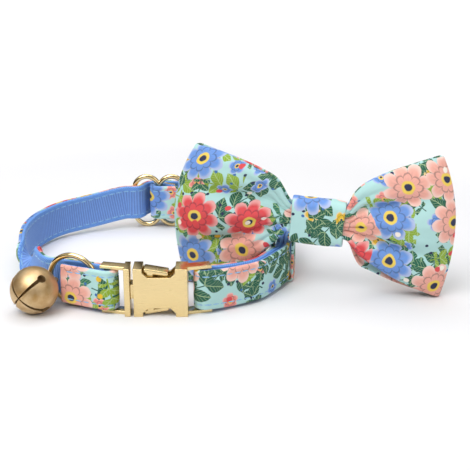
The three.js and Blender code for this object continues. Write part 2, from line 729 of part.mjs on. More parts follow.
// The cloth loop behind the knot, round both layers of the strap where they pass the knot
function makeBackLoop() {
  const nearY = KNOT.depth / 2 + CLEARANCE;
  const toBow = bow.matrixWorld.clone().invert();
  const passing = frames.map((frame) => frame.middle.clone().applyMatrix4(toBow))
    .filter((p) => p.y > nearY && p.y < nearY + BACK_LOOP.band && Math.abs(p.x) < BOW.halfLength / 2);
  const middle = passing.reduce((sum, p) => sum + p.x, 0) / passing.length;
  const strapLow = Math.min(...passing.map((p) => p.z)) - STRAP.width / 2;
  const low = strapLow - CLEARANCE - BACK_LOOP.thick;
  const height = BACK_LOOP.top - low;
  const width = layDistance + strapThick + 2 * (CLEARANCE + BACK_LOOP.thick) + BACK_LOOP.ease;
  const band = new THREE.ExtrudeGeometry(bandFrame(width, height, BACK_LOOP.thick, BACK_LOOP.corner),
    { depth: BACK_LOOP.band, bevelEnabled: false, curveSegments: 4 });
  band.rotateX(Math.PI / 2);
  return band.translate(middle, nearY + BACK_LOOP.band, low + height / 2);
}

// Assembly

const collar = new THREE.Group();

const frames = strapFrames();
const cotton = finish(COLOURS.print, 0.85, 0);
piece('strap_cover', strapLayer(frames, STRAP.width, CLEARANCE / 2, strapHalf), cotton, collar);
piece('ribbon_lining', strapLayer(frames, STRAP.liningWidth, -strapHalf, -CLEARANCE / 2),
  finish(COLOURS.ribbon, 0.8, 0), collar);

piece('buckle_socket', makeSocket(), finish(COLOURS.gold, 0.16, 1), collar);
piece('buckle_plug', makePlug(), finish(COLOURS.gold, 0.16, 1), collar);
piece('upper_lever', makeLever(true), finish(COLOURS.gold, 0.18, 1), collar);
piece('lower_lever', makeLever(false), finish(COLOURS.gold, 0.18, 1), collar);
piece('leash_ring', makeRing(), finish(COLOURS.gold, 0.14, 1), collar);
piece('slider', makeSlider(), finish(COLOURS.gold, 0.16, 1), collar);
piece('bell', makeBell(), finish(COLOURS.brass, 0.38, 1), collar);
piece('bell_pea', makePea(), finish(COLOURS.brass, 0.5, 1), collar);

const bow = new THREE.Group();
bow.position.set(BOW.side * LOOP.halfWidth, BOW.depth * LOOP.halfDepth, 0);
bow.rotation.z = radians(BOW.turn);
collar.add(bow);
collar.updateMatrixWorld();
piece('bow_wings', makeWings(), cotton.clone(), bow);
piece('bow_knot', makeKnot(), cotton.clone(), bow);
piece('back_loop', makeBackLoop(), cotton.clone(), bow);

export default collar;
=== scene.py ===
"""Pet bow tie collar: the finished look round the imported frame.

The script is laid out as an add-on. Its operators build the strap, the fittings, the bell and the
bow over the frame's solids, in metres, and each one can be run again from the sidebar.
"""

import math

import bmesh
import bpy
from bpy.props import FloatProperty, FloatVectorProperty, PointerProperty
from mathutils import Matrix, Vector, noise


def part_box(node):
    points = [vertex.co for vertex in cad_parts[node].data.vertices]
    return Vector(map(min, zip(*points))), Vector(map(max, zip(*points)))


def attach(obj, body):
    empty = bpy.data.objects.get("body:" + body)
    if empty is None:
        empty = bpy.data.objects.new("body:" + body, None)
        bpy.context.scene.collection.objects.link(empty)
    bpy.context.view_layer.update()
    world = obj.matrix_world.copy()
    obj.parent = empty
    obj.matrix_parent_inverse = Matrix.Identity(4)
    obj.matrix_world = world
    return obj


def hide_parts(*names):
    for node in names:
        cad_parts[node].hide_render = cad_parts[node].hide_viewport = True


bl_info = {
    "name": "Pet bow tie collar",
    "version": (1, 0, 0),
    "blender": (4, 5, 0),
    "location": "3D View > Sidebar > Collar",
    "description": "Builds a printed cloth collar with a bow tie, bell and gold fittings over its frame",
    "category": "Add Mesh",
}

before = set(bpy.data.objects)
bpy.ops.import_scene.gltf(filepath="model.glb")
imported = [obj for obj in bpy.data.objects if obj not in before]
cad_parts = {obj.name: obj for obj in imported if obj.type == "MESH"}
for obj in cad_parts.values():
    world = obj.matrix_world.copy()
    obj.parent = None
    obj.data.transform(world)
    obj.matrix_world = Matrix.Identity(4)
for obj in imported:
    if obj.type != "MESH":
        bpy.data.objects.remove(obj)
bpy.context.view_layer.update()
MM = 0.001


# Driving sizes of the frame, in millimetres, as in the part's own source

LOOP_HALF_WIDTH = 52.0
LOOP_HALF_DEPTH = 46.0
STRAP_WIDTH = 14.2
STRAP_HALF = 1.15
LINING_WIDTH = 13.9
LAY_DISTANCE = 2.7
LAYER_GAP = 0.3
FLAP_LENGTH = 15.8
FLAP_TURN = math.radians(22)
FOLD_RADIUS = 2.65
FOLD_STEPS = 9
SOCKET_WRAP = 205
BUCKLE_MIDDLE = 8.6
PLUG_BAR = Vector((-14.0, -40.2))
SOCKET_BAR = Vector((18.8, -39.9))
SLIDER_BAR = Vector((-2.5, 46.0))
SLIDER_MIDDLE = 11.4
SLIDER_PITCH = 10.4
SLIDER_RADIUS = 5.2
SLIDER_WIRE = 1.0
LOWEST_MIDDLE = 7.5
SLIDER_SPREAD = SLIDER_RADIUS - math.sqrt(
    SLIDER_RADIUS ** 2 - (STRAP_WIDTH / 2 - (SLIDER_MIDDLE - SLIDER_WIRE - SLIDER_RADIUS)) ** 2)
BAR_PASS = SLIDER_WIRE + LAYER_GAP + STRAP_HALF + SLIDER_SPREAD
OUTER_PASS = BAR_PASS + 2 * STRAP_HALF + LAYER_GAP

# The strap's route, as given in the part's source. Flap rows: share along the flap,
# distance from the bar in fold radii, drop as a share of the width, roll in degrees
FLAP_RUN = [(1.0, 1.20, -0.035, 3), (0.78, 1.15, -0.02, 2), (0.52, 1.07, -0.01, 1), (0.26, 1.0, 0.0, 0)]
BEHIND_RING = [(0.33, 1.0, 0.0, 0), (0.71, 1.06, 0.01, 0), (1.09, 1.22, 0.03, 0), (1.32, 1.34, 0.05, 1)]
# Shares of the loop's half width and half depth, roll in degrees, share of the strap's width, less
# where the cloth is folded up in its half twist, and share of the rise to the slider
LEFT_RUN = [
    (-0.695, -0.600, 0, 1.0, 0.05), (-0.775, -0.490, 4, 1.0, 0.04), (-0.842, -0.355, 20, 0.97, 0.03),
    (-0.880, -0.275, 88, 0.50, 0.03), (-0.915, -0.190, 158, 0.88, 0.02), (-0.960, -0.035, 176, 1.0, 0.0),
    (-0.980, 0.155, 180, 1.0, 0.0), (-0.958, 0.360, 180, 1.0, 0.02), (-0.904, 0.533, 180, 1.0, 0.06),
    (-0.798, 0.700, 180, 1.0, 0.16), (-0.588, 0.845, 180, 1.0, 0.40),
]
# Most degrees that the strap turns about its own line from one section to the next
TWIST_STEP = 5
# Shares of the loop's half width and half depth, share of the rise, lay distances to the inner layer
RIGHT_RUN = [
    (0.300, 1.035, 0.85, 1.55), (0.470, 0.945, 0.70, 1.12), (0.640, 0.800, 0.58, 1.0),
    (0.795, 0.600, 0.46, 1.0), (0.913, 0.370, 0.36, 1.0), (0.972, 0.150, 0.30, 1.0),
    (0.960, -0.010, 0.28, 1.0), (0.930, -0.165, 0.25, 1.0), (0.907, -0.366, 0.20, 1.0),
    (0.822, -0.536, 0.16, 1.0), (0.720, -0.695, 0.14, 1.0), (0.583, -0.797, 0.14, 1.15),
    (0.462, -0.871, 0.18, 1.55),
]
# Slider pitches from the centre bar, and shares of the pass inside (-) or outside (+) the wires
WEAVE = [
    (-1.32, -1.00), (-1.04, -0.98), (-0.81, -0.76), (-0.68, -0.05), (-0.60, 0.42),
    (-0.44, 0.84), (-0.14, 1.04), (0.22, 1.04), (0.60, 0.92), (1.02, 0.74),
]
SEWN_TAIL = [(0.165, 0.88), (0.340, 0.42), (0.500, 0.10), (0.600, 0.02)]

BOW_PLACE = Matrix.Translation((56.0, -21.0, 0.0)) @ Matrix.Rotation(math.radians(-9), 4, "Z")
BOW_HALF_LENGTH = 49.0
BOW_HEIGHT = 52.0
BOW_BULGE = 3.6
BOW_CLOSING = 0.8
BACK_SHORT = 1.6
PINCH_DEPTH = 1.4
PLEAT_DEPTH = 2.0
LEAST_DEPTH = 0.75
VALLEY = 0.42
GATHER = 0.15
GATHER_DEPTH = 0.55
# Share of the half length where the creases are deepest, and how far they reach
CREASE_PLACE = 0.34
CREASE_REACH = 0.72
# Steps from a wing's middle to its top or bottom edge
WING_MIDDLE = 22
# Share of the half length, top and bottom as shares of the height, bulge, pleat, drop of the back
RIGHT_WING = [
    (0.00, 0.612, 0.420, 0.00, 0.30, 0.00), (0.285, 0.596, 0.388, 0.03, 0.30, 0.01),
    (0.31, 0.668, 0.352, 0.08, 0.45, 0.04), (0.37, 0.742, 0.286, 0.26, 0.85, 0.10),
    (0.45, 0.800, 0.240, 0.52, 1.00, 0.09), (0.60, 0.875, 0.156, 0.88, 0.95, 0.07),
    (0.80, 0.946, 0.073, 0.96, 0.60, 0.045), (0.92, 0.974, 0.030, 0.45, 0.30, 0.02),
    (1.00, 0.984, 0.000, -0.36, 0.00, 0.00),
]
LEFT_WING = [
    (0.00, 0.612, 0.420, 0.00, 0.30, 0.00), (0.19, 0.616, 0.425, 0.02, 0.30, 0.00),
    (0.30, 0.767, 0.338, 0.16, 0.85, 0.015), (0.45, 0.848, 0.225, 0.50, 1.00, 0.06),
    (0.60, 0.910, 0.145, 0.86, 0.95, 0.05), (0.80, 0.971, 0.080, 0.96, 0.60, 0.035),
    (0.92, 0.994, 0.032, 0.45, 0.30, 0.015), (1.00, 1.000, 0.000, -0.36, 0.00, 0.00),
]
RIGHT_CORNERS = (0.116, 0.078)
LEFT_CORNERS = (0.172, 0.080)

KNOT_WIDTH = 19.4
KNOT_HEIGHT = 16.8
KNOT_DEPTH = 8.0
KNOT_CLOTH = 1.2
KNOT_CORNER = 3.0
KNOT_PLACE = BOW_PLACE @ Matrix.Translation((2.0, 0.0, 25.7)) @ Matrix.Rotation(math.radians(4), 4, "Y")
LOOP_BAND = 8.0
LOOP_THICK = 1.0
LOOP_EASE = 0.8
LOOP_CORNER = 1.3

RING_OUTER = 19.4
RING_WIRE = 1.9
RING_TURN = math.radians(19)
RING_ALONG = 4.3
BELL_OUTER = 16.2
BELL_WALL = 0.7
BELL_AZIMUTH = math.radians(62)
BELL_HOLD = math.radians(10)
SLIT_TURN = math.radians(-42)
SLIT_END = math.radians(76)
SLIT_NARROW = 0.4
SLIT_WIDE = 1.3
HOLE_RADIUS = 1.45
HANGER_RADIUS = 1.85
HANGER_WIRE = 1.1
WIRE_SIDES = 20

# Levels of the cloth over the strap's middle surface, and the steps along it
HIDDEN_SIDE = 0.02
FACE_START = 0.30
CLOTH_SWAY = 0.05
COVER_STEP = 0.6
RIBBON_STEP = 0.25

# The stage, in metres. Each light: name, place, size and watts
FLOOR_REACH = 4.0
LIT_PLACE = Vector((0.02, 0, 0.02))
LIGHTS = [
    ("key", (-0.35, -0.45, 0.85), 0.7, 7.2), ("fill", (0.75, -0.55, 0.55), 0.6, 1.4),
    ("top", (0.0, 0.25, 1.0), 0.9, 4.4),
]
# The photograph's width and focal length in pixels, and the camera's place and its tilt in degrees
PHOTO_WIDTH = 470
PHOTO_FOCAL = 1000
CAMERA_PLACE = (0.029, -0.352, 0.1415)
CAMERA_DOWN = 20.09


# Small tools

def linear(code):
    """An sRGB hex colour as linear red, green and blue, with full opacity."""
    parts = [(code >> shift & 255) / 255 for shift in (16, 8, 0)]
    return (*(c / 12.92 if c <= 0.04045 else ((c + 0.055) / 1.055) ** 2.4 for c in parts), 1)


def add(tree, kind, inputs=(), **settings):
    """A node with its settings and links. An input is a value, a node or a socket."""
    made = tree.nodes.new(kind)
    for key, value in settings.items():
        setattr(made, key, value)
    for key, value in inputs.items() if isinstance(inputs, dict) else enumerate(inputs):
        if isinstance(value, bpy.types.Node):
            tree.links.new(value.outputs[0], made.inputs[key])
        elif isinstance(value, bpy.types.NodeSocket):
            tree.links.new(value, made.inputs[key])
        elif value is not None:
            made.inputs[key].default_value = value
    return made


def blends(t):
    """Weights of a smooth curve's start, the slope there, its end and the slope there."""
    return 2 * t ** 3 - 3 * t * t + 1, t ** 3 - 2 * t * t + t, 3 * t * t - 2 * t ** 3, t ** 3 - t * t


def between(rows, column, s):
    """A value between the rows of a table, smooth through each row."""
    i = max(1, next((k for k, row in enumerate(rows) if row[0] >= s), len(rows) - 1))

    def slope(j):
        a, b = rows[max(0, j - 1)], rows[min(len(rows) - 1, j + 1)]
        return (b[column] - a[column]) / (b[0] - a[0])

    p, q = rows[i - 1], rows[i]
    span = q[0] - p[0]
    terms = p[column], span * slope(i - 1), q[column], span * slope(i)
    return sum(w * term for w, term in zip(blends((s - p[0]) / span), terms))


def new_object(name, mesh, material):
    """A piece at the origin, made again if it is there already."""
    old = bpy.data.objects.get(name)
    if old:
        bpy.data.objects.remove(old)
    piece = bpy.data.objects.new(name, mesh)
    if material:
        mesh.materials.clear()
        mesh.materials.append(material)
    bpy.context.collection.objects.link(piece)
    return piece


def net(count, width, wrap_rows, wrap_columns):
    """Corners of the faces between rows of points, each corner a row number and a column number."""
    return [((i, j), (i, j + 1), (i + 1, j + 1), (i + 1, j))
            for i in range(count if wrap_rows else count - 1)
            for j in range(width if wrap_columns else width - 1)]


def outwards(mesh):
    """Turns a closed mesh's faces outwards."""
    solid = bmesh.new()
    solid.from_mesh(mesh)
    if solid.calc_volume(signed=True) < 0:
        bmesh.ops.reverse_faces(solid, faces=solid.faces)
    solid.to_mesh(mesh)
    solid.free()


def made_mesh(name, solid):
    """A mesh from a bmesh, which is freed."""
    mesh = bpy.data.meshes.new(name)
    solid.to_mesh(mesh)
    solid.free()
    return mesh


def grid_mesh(name, rows, along, across, wrap_rows=False, wrap_columns=False, caps=False):
    """A mesh through rows of points in millimetres, with its place on the cloth as a UV map.

    along has a place for each row, and across one for each column, or a list of them for each row.
    """
    count, width = len(rows), len(rows[0])
    sides = across if isinstance(across[0], list) else [across] * count
    corners = net(count, width, wrap_rows, wrap_columns)
    if caps:
        corners.append([(0, j) for j in reversed(range(width))])
        corners.append([(count - 1, j) for j in range(width)])
    mesh = bpy.data.meshes.new(name)
    mesh.from_pydata([point * MM for row in rows for point in row], [],
                     [[i % count * width + j % width for i, j in face] for face in corners])
    places = [(along[i], sides[i % count][j]) for face in corners for i, j in face]
    layer = mesh.uv_layers.new(name="cloth_mm")
    layer.data.foreach_set("uv", [value for place in places for value in place])
    if caps:
        outwards(mesh)
    mesh.shade_smooth()
    return mesh


def finished(piece, slot, *nodes):
    """Sets a finished piece to ride on the root and hides the solids that it stands for. The slot is not
    used.
    """
    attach(piece, "root")
    if nodes:
        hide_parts(*nodes)


# The strap's path

def lifted(lift):
    return LOWEST_MIDDLE + lift * (SLIDER_MIDDLE - LOWEST_MIDDLE)


def arc(centre, radius, start, end, steps):
    turns = [math.radians(start + (end - start) * i / steps) for i in range(steps + 1)]
    return [centre + radius * Vector((math.cos(turn), math.sin(turn))) for turn in turns]


def strap_stations():
    """The strap's middle line from the flap to the sewn end: points, rolls and shares of the width."""
    stations = []

    def put(plan, z, roll, share=1.0):
        stations.append((Vector((plan[0], plan[1], z)), roll, share))

    def put_at_slider(across, offset):
        put(SLIDER_BAR + Vector((across * SLIDER_PITCH, offset)), SLIDER_MIDDLE, 180)

    flap_along = Vector((-math.cos(FLAP_TURN), math.sin(FLAP_TURN)))
    flap_out = Vector((-flap_along.y, flap_along.x))
    for share, away, drop, roll in FLAP_RUN:
        put(PLUG_BAR + flap_along * share * FLAP_LENGTH + flap_out * away * FOLD_RADIUS,
            BUCKLE_MIDDLE - drop * STRAP_WIDTH, roll)
    start = math.degrees(math.atan2(flap_out.y, flap_out.x))
    for plan in arc(PLUG_BAR, FOLD_RADIUS, start, start + 180, FOLD_STEPS):
        put(plan, BUCKLE_MIDDLE, 0)
    for share, away, drop, roll in BEHIND_RING:
        put(PLUG_BAR + flap_along * share * FLAP_LENGTH - flap_out * away * FOLD_RADIUS,
            BUCKLE_MIDDLE - drop * STRAP_WIDTH, roll)
    for side, depth, roll, share, lift in LEFT_RUN:
        put((side * LOOP_HALF_WIDTH, depth * LOOP_HALF_DEPTH), lifted(lift), roll, share)
    for across, through in WEAVE:
        put_at_slider(across, through * (BAR_PASS if through < 0 else OUTER_PASS))
    outer = [Vector((row[0] * LOOP_HALF_WIDTH, row[1] * LOOP_HALF_DEPTH)) for row in RIGHT_RUN]
    for plan, row in zip(outer, RIGHT_RUN):
        put(plan, lifted(row[2]), 180)
    lead = outer[-1] - SOCKET_BAR
    meets = math.degrees(math.atan2(lead.y, lead.x) - math.acos(FOLD_RADIUS / lead.length))
    for plan in arc(SOCKET_BAR, FOLD_RADIUS, meets, meets - SOCKET_WRAP, FOLD_STEPS):
        put(plan, BUCKLE_MIDDLE, 180)
    for i in reversed(range(len(outer))):
        course = (outer[min(len(outer) - 1, i + 1)] - outer[max(0, i - 1)]).normalized()
        inward = Vector((course.y, -course.x)) * RIGHT_RUN[i][3] * LAY_DISTANCE
        put(outer[i] + inward, lifted(RIGHT_RUN[i][2]), 180)
    put_at_slider(1, -BAR_PASS)
    put_at_slider(0.5, -BAR_PASS)
    for plan in arc(SLIDER_BAR, BAR_PASS, 270, 90, FOLD_STEPS):
        put(plan, SLIDER_MIDDLE, 180)
    for across, away in SEWN_TAIL:
        put_at_slider(across, away * BAR_PASS)
    return stations


def strap_frames(step):
    """Frames along the strap: distance, middle, the print's way and the width's way."""
    stations = strap_stations()
    points, rolls, shares = zip(*stations)
    points = [2 * points[0] - points[1], *points, 2 * points[-1] - points[-2]]
    rolls = [rolls[0], *rolls, rolls[-1]]
    shares = [shares[0], *shares, shares[-1]]
    frames, travelled, last = [], 0.0, None
    for i in range(1, len(points) - 2):
        a, b, c, d = points[i - 1:i + 3]
        gaps = [(q - p).length ** 0.5 for p, q in ((a, b), (b, c), (c, d))]
        leave = ((b - a) / gaps[0] - (c - a) / (gaps[0] + gaps[1]) + (c - b) / gaps[1]) * gaps[1]
        arrive = ((c - b) / gaps[1] - (d - b) / (gaps[1] + gaps[2]) + (d - c) / gaps[2]) * gaps[1]
        slopes = (rolls[i + 1] - rolls[i - 1]) / 2, (rolls[i + 2] - rolls[i]) / 2
        least = math.ceil(abs(rolls[i + 1] - rolls[i]) / TWIST_STEP)
        count = max(1, least, round((c - b).length / step))
        for j in range(count + (i == len(points) - 3)):
            t = j / count
            weights = blends(t)
            rates = 6 * t * t - 6 * t, 3 * t * t - 4 * t + 1, 6 * t - 6 * t * t, 3 * t * t - 2 * t
            terms = b, leave, c, arrive
            middle = sum((w * term for w, term in zip(weights, terms)), Vector())
            heading = sum((w * term for w, term in zip(rates, terms)), Vector()).normalized()
            turns = rolls[i], slopes[0], rolls[i + 1], slopes[1]
            roll = math.radians(sum(w * turn for w, turn in zip(weights, turns)))
            side = heading.cross(Vector((0, 0, 1))).normalized()
            width = side.cross(heading) * math.cos(roll) + side * math.sin(roll)
            travelled += (middle - last).length if last else 0.0
            last = middle
            share = shares[i] + (shares[i + 1] - shares[i]) * t
            frames.append((travelled, middle, heading.cross(width), width * share))
    return frames


# Materials

def material_tree(name):
    """An empty material and its tree."""
    old = bpy.data.materials.get(name)
    if old:
        bpy.data.materials.remove(old)
    material = bpy.data.materials.new(name)
    material.use_nodes = True
    material.node_tree.nodes.clear()
    return material, material.node_tree


def calculate(tree, start, *steps):
    """A formula on one number, each step an operation and its other numbers.

    FADE goes smoothly from 1 at the first of its two numbers to 0 at the second.
    """
    value = start
    for operation, *others in steps:
        if operation == "FADE":
            full, none = others
            value = add(tree, "ShaderNodeMapRange", {"Value": value, "From Min": none, "From Max": full},
                        interpolation_type="SMOOTHSTEP")
        else:
            value = add(tree, "ShaderNodeMath", [value, *others], operation=operation)
    return value


def layered(tree, ground, *inks):
    """A colour with others laid over it in turn, each with the mask that it shows through."""
    for colour, mask in inks:
        ground = add(tree, "ShaderNodeMix", {0: mask, 6: ground, 7: colour}, data_type="RGBA").outputs[2]
    return ground


def motif(tree, place, cell, shift, looseness, colours, share):
    """One motif in each cell of a layer: its own place in millimetres, its ink and if it is kept."""
    moved = add(tree, "ShaderNodeVectorMath", [place, (*shift, 0)], operation="ADD")
    cells = add(tree, "ShaderNodeTexVoronoi",
                {"Vector": moved, "Scale": 1 / cell, "Randomness": looseness}, voronoi_dimensions="2D")
    near = add(tree, "ShaderNodeVectorMath", [moved, cells.outputs["Position"]], operation="SUBTRACT")
    chance = add(tree, "ShaderNodeSeparateColor", [cells.outputs["Color"]])
    turn = calculate(tree, chance.outputs[0], ("MULTIPLY", math.tau))
    turned = add(tree, "ShaderNodeVectorRotate", {"Vector": near, "Angle": turn}, rotation_type="Z_AXIS")
    ink = add(tree, "ShaderNodeValToRGB", [chance.outputs[2]])
    ramp = ink.color_ramp
    ramp.interpolation = "CONSTANT"
    while len(ramp.elements) < len(colours):
        ramp.elements.new(0.5)
    for i, (element, colour) in enumerate(zip(ramp.elements, colours)):
        element.position = i / len(colours)
        element.color = colour
    return turned, ink, calculate(tree, chance.outputs[1], ("LESS_THAN", share))


def blossoms(tree, below, place, cell, shift, share, radius, petals, colours, heart):
    """Round open flowers with two rows of petals, darker veins towards the middle and a ringed heart."""
    local, ink, kept = motif(tree, place, cell, shift, 0.55, colours, share)
    parts = add(tree, "ShaderNodeSeparateXYZ", [local])
    angle = calculate(tree, parts.outputs[1], ("ARCTAN2", parts.outputs[0]))
    away = add(tree, "ShaderNodeVectorMath", [local], operation="LENGTH").outputs["Value"]
    lobes = calculate(tree, angle, ("MULTIPLY", petals / 2), ("COSINE",), ("ABSOLUTE",), ("POWER", 0.55))
    edge = calculate(tree, lobes, ("MULTIPLY", radius * 0.38), ("ADD", radius * 0.62))
    depth = calculate(tree, away, ("DIVIDE", edge))
    veins = calculate(tree, angle, ("MULTIPLY", petals * 3), ("SINE",), ("MULTIPLY", 0.5), ("ADD", 0.5))
    streaks = calculate(tree, depth, ("FADE", 0.25, 0.85), ("MULTIPLY", veins), ("MULTIPLY", 0.34))
    pale = calculate(tree, depth, ("FADE", 0.97, 0.72), ("MULTIPLY", 0.38))
    split = calculate(tree, lobes, ("FADE", 0.2, 0.42), ("MULTIPLY", 0.35))
    # The second, smaller row of petals lies between the first
    row = calculate(tree, angle, ("MULTIPLY", petals / 2), ("ADD", math.pi / 2), ("COSINE",),
                    ("ABSOLUTE",), ("POWER", 0.55), ("MULTIPLY", radius * 0.20), ("ADD", radius * 0.36),
                    ("SUBTRACT", away))
    inner = calculate(tree, row, ("FADE", 0.12, -0.08), ("MULTIPLY", 0.75))
    rim = calculate(tree, row, ("ABSOLUTE",), ("FADE", 0.04, 0.04 + radius * 0.05), ("MULTIPLY", 0.45))
    deep_heart = (*(c * 0.35 for c in heart[:3]), 1)
    petal = layered(tree, ink, (linear(0x89616F), streaks), (linear(0xFFF9F1), pale),
                    (linear(0x955969), split), (ink, inner), (deep_heart, rim))
    flower = calculate(tree, edge, ("SUBTRACT", away), ("FADE", 0.12, -0.08), ("MULTIPLY", kept))
    ring = calculate(tree, away, ("FADE", radius * 0.25, radius * 0.29), ("MULTIPLY", kept))
    core = calculate(tree, away, ("FADE", radius * 0.13, radius * 0.17), ("MULTIPLY", kept))
    return layered(tree, below, (petal, flower), (linear(0xF3D25A), ring), (heart, core))


def sprigs(tree, below, place, cell, shift, share, reach, colours):
    """Stems with leaves in pairs, each with a pale midrib and side veins."""
    local, ink, kept = motif(tree, place, cell, shift, 0.8, colours, share)
    parts = add(tree, "ShaderNodeSeparateXYZ", [local])
    spacing, length = reach * 0.52, reach * 0.62
    along = calculate(tree, parts.outputs[0], ("ADD", spacing * 20), ("MODULO", spacing))
    aside = calculate(tree, parts.outputs[1], ("ABSOLUTE",))
    span = calculate(tree, parts.outputs[0], ("ABSOLUTE",))
    # A leaf leaves its stem at 45 degrees
    forward = calculate(tree, along, ("ADD", aside), ("MULTIPLY", math.sqrt(0.5)))
    sideways = calculate(tree, aside, ("SUBTRACT", along), ("MULTIPLY", math.sqrt(0.5)), ("ABSOLUTE",))
    ends = calculate(tree, forward, ("FADE", length * 0.99, length))
    within = calculate(tree, span, ("FADE", reach * 0.78, reach * 0.80))
    leaf = calculate(tree, forward, ("DIVIDE", length), ("MULTIPLY", math.pi), ("SINE",),
                     ("MULTIPLY", length * 0.33), ("SUBTRACT", sideways), ("FADE", 0.10, -0.05),
                     ("MULTIPLY", ends), ("MULTIPLY", within))
    tip = calculate(tree, span, ("FADE", reach, reach * 1.03))
    stem = calculate(tree, aside, ("FADE", 0.12, 0.26), ("MULTIPLY", tip))
    veins = calculate(tree, forward, ("SUBTRACT", sideways), ("MULTIPLY", math.tau / 1.1), ("COSINE",),
                      ("FADE", 1.0, 0.55), ("MULTIPLY", 0.6))
    rib = calculate(tree, sideways, ("FADE", 0.06, 0.22), ("MAXIMUM", veins), ("MULTIPLY", leaf),
                    ("MULTIPLY", 0.65))
    shape = calculate(tree, leaf, ("MAXIMUM", stem), ("MULTIPLY", kept))
    return layered(tree, below, (layered(tree, ink, (linear(0xBFD9A2), rib)), shape))


def berries(tree, below, place, cell, shift, share, radius, colours):
    """Small round dots."""
    local, ink, kept = motif(tree, place, cell, shift, 0.85, colours, share)
    away = add(tree, "ShaderNodeVectorMath", [local], operation="LENGTH").outputs["Value"]
    dot = calculate(tree, away, ("FADE", radius * 0.85, radius * 1.15), ("MULTIPLY", kept))
    return layered(tree, below, (ink, dot))


def printed_cotton(name, colours, shift):
    """Cotton poplin, screen printed: matt, with soft sheen and a fine plain weave under the ink."""
    material, tree = material_tree(name)
    chart = add(tree, "ShaderNodeUVMap", uv_map="cloth_mm")
    place = add(tree, "ShaderNodeVectorMath", [chart, (*shift, 0)], operation="ADD")
    wobble = add(tree, "ShaderNodeTexNoise", {"Vector": place, "Scale": 0.30, "Detail": 3.0},
                 noise_dimensions="2D")
    drawn = add(tree, "ShaderNodeVectorMath", [wobble.outputs["Color"], (0.5, 0.5, 0.5)],
                operation="SUBTRACT")
    drawn = add(tree, "ShaderNodeVectorMath", {0: drawn, "Scale": 0.9}, operation="SCALE")
    place = add(tree, "ShaderNodeVectorMath", [place, drawn], operation="ADD")
    ground, coral, blush, blue, yellow, leaf, lime, navy = [
        (*getattr(colours, ink), 1)
        for ink in ("ground", "coral", "blush", "blue", "yellow", "leaf", "lime", "navy")]
    # Cells, shifts, reaches and radii are in millimetres of cloth
    cloth = sprigs(tree, ground, place, cell=15.5, shift=(3, 61), share=1.0, reach=11.0,
                   colours=[leaf, linear(0x2C7355), leaf, lime])
    cloth = berries(tree, cloth, place, cell=3.4, shift=(17, 5), share=0.30, radius=0.55,
                    colours=[navy, linear(0x3C6FB0), navy])
    cloth = blossoms(tree, cloth, place, cell=9.5, shift=(71, 33), share=0.62, radius=3.1, petals=5,
                     colours=[blue, yellow, linear(0xF08F84)], heart=navy)
    cloth = sprigs(tree, cloth, place, cell=12.0, shift=(44, 12), share=0.72, reach=7.0,
                   colours=[leaf, lime, linear(0x256850)])
    cloth = blossoms(tree, cloth, place, cell=19.0, shift=(9, 27), share=0.85, radius=8.6, petals=8,
                     colours=[blush, blue, coral, blush, yellow, blue, coral, blue, blush, coral, blue,
                              blush], heart=navy)
    cloth = berries(tree, cloth, place, cell=6.0, shift=(31, 47), share=0.16, radius=1.0,
                    colours=[coral, yellow, linear(0xFFF4E6)])
    fading = add(tree, "ShaderNodeTexNoise", {"Vector": place, "Scale": 0.12, "Detail": 4.0},
                 noise_dimensions="2D")
    cloth = layered(tree, cloth, (linear(0x95AAAD), calculate(tree, fading, ("MULTIPLY", 0.12))))
    # Yarns are 0.25 mm apart, drawn at 0.5 mm so that they show
    yarns = add(tree, "ShaderNodeSeparateXYZ", [chart])
    warp, weft = [calculate(tree, yarns.outputs[i], ("MULTIPLY", math.tau / 0.5), ("SINE",))
                  for i in (0, 1)]
    weave = calculate(tree, warp, ("MULTIPLY", weft), ("MULTIPLY", 0.5), ("ADD", 0.5))
    bump = add(tree, "ShaderNodeBump", {"Strength": 0.22, "Distance": 0.06 * MM, "Height": weave})
    rough = add(tree, "ShaderNodeMapRange", {"Value": weave, "To Min": 0.72, "To Max": 0.86})
    surface = add(tree, "ShaderNodeBsdfPrincipled", {
        "Base Color": cloth, "Roughness": rough, "Normal": bump,
        "Sheen Weight": 0.04, "Sheen Roughness": 0.45, "Specular IOR Level": 0.18})
    add(tree, "ShaderNodeOutputMaterial", [surface])
    return material


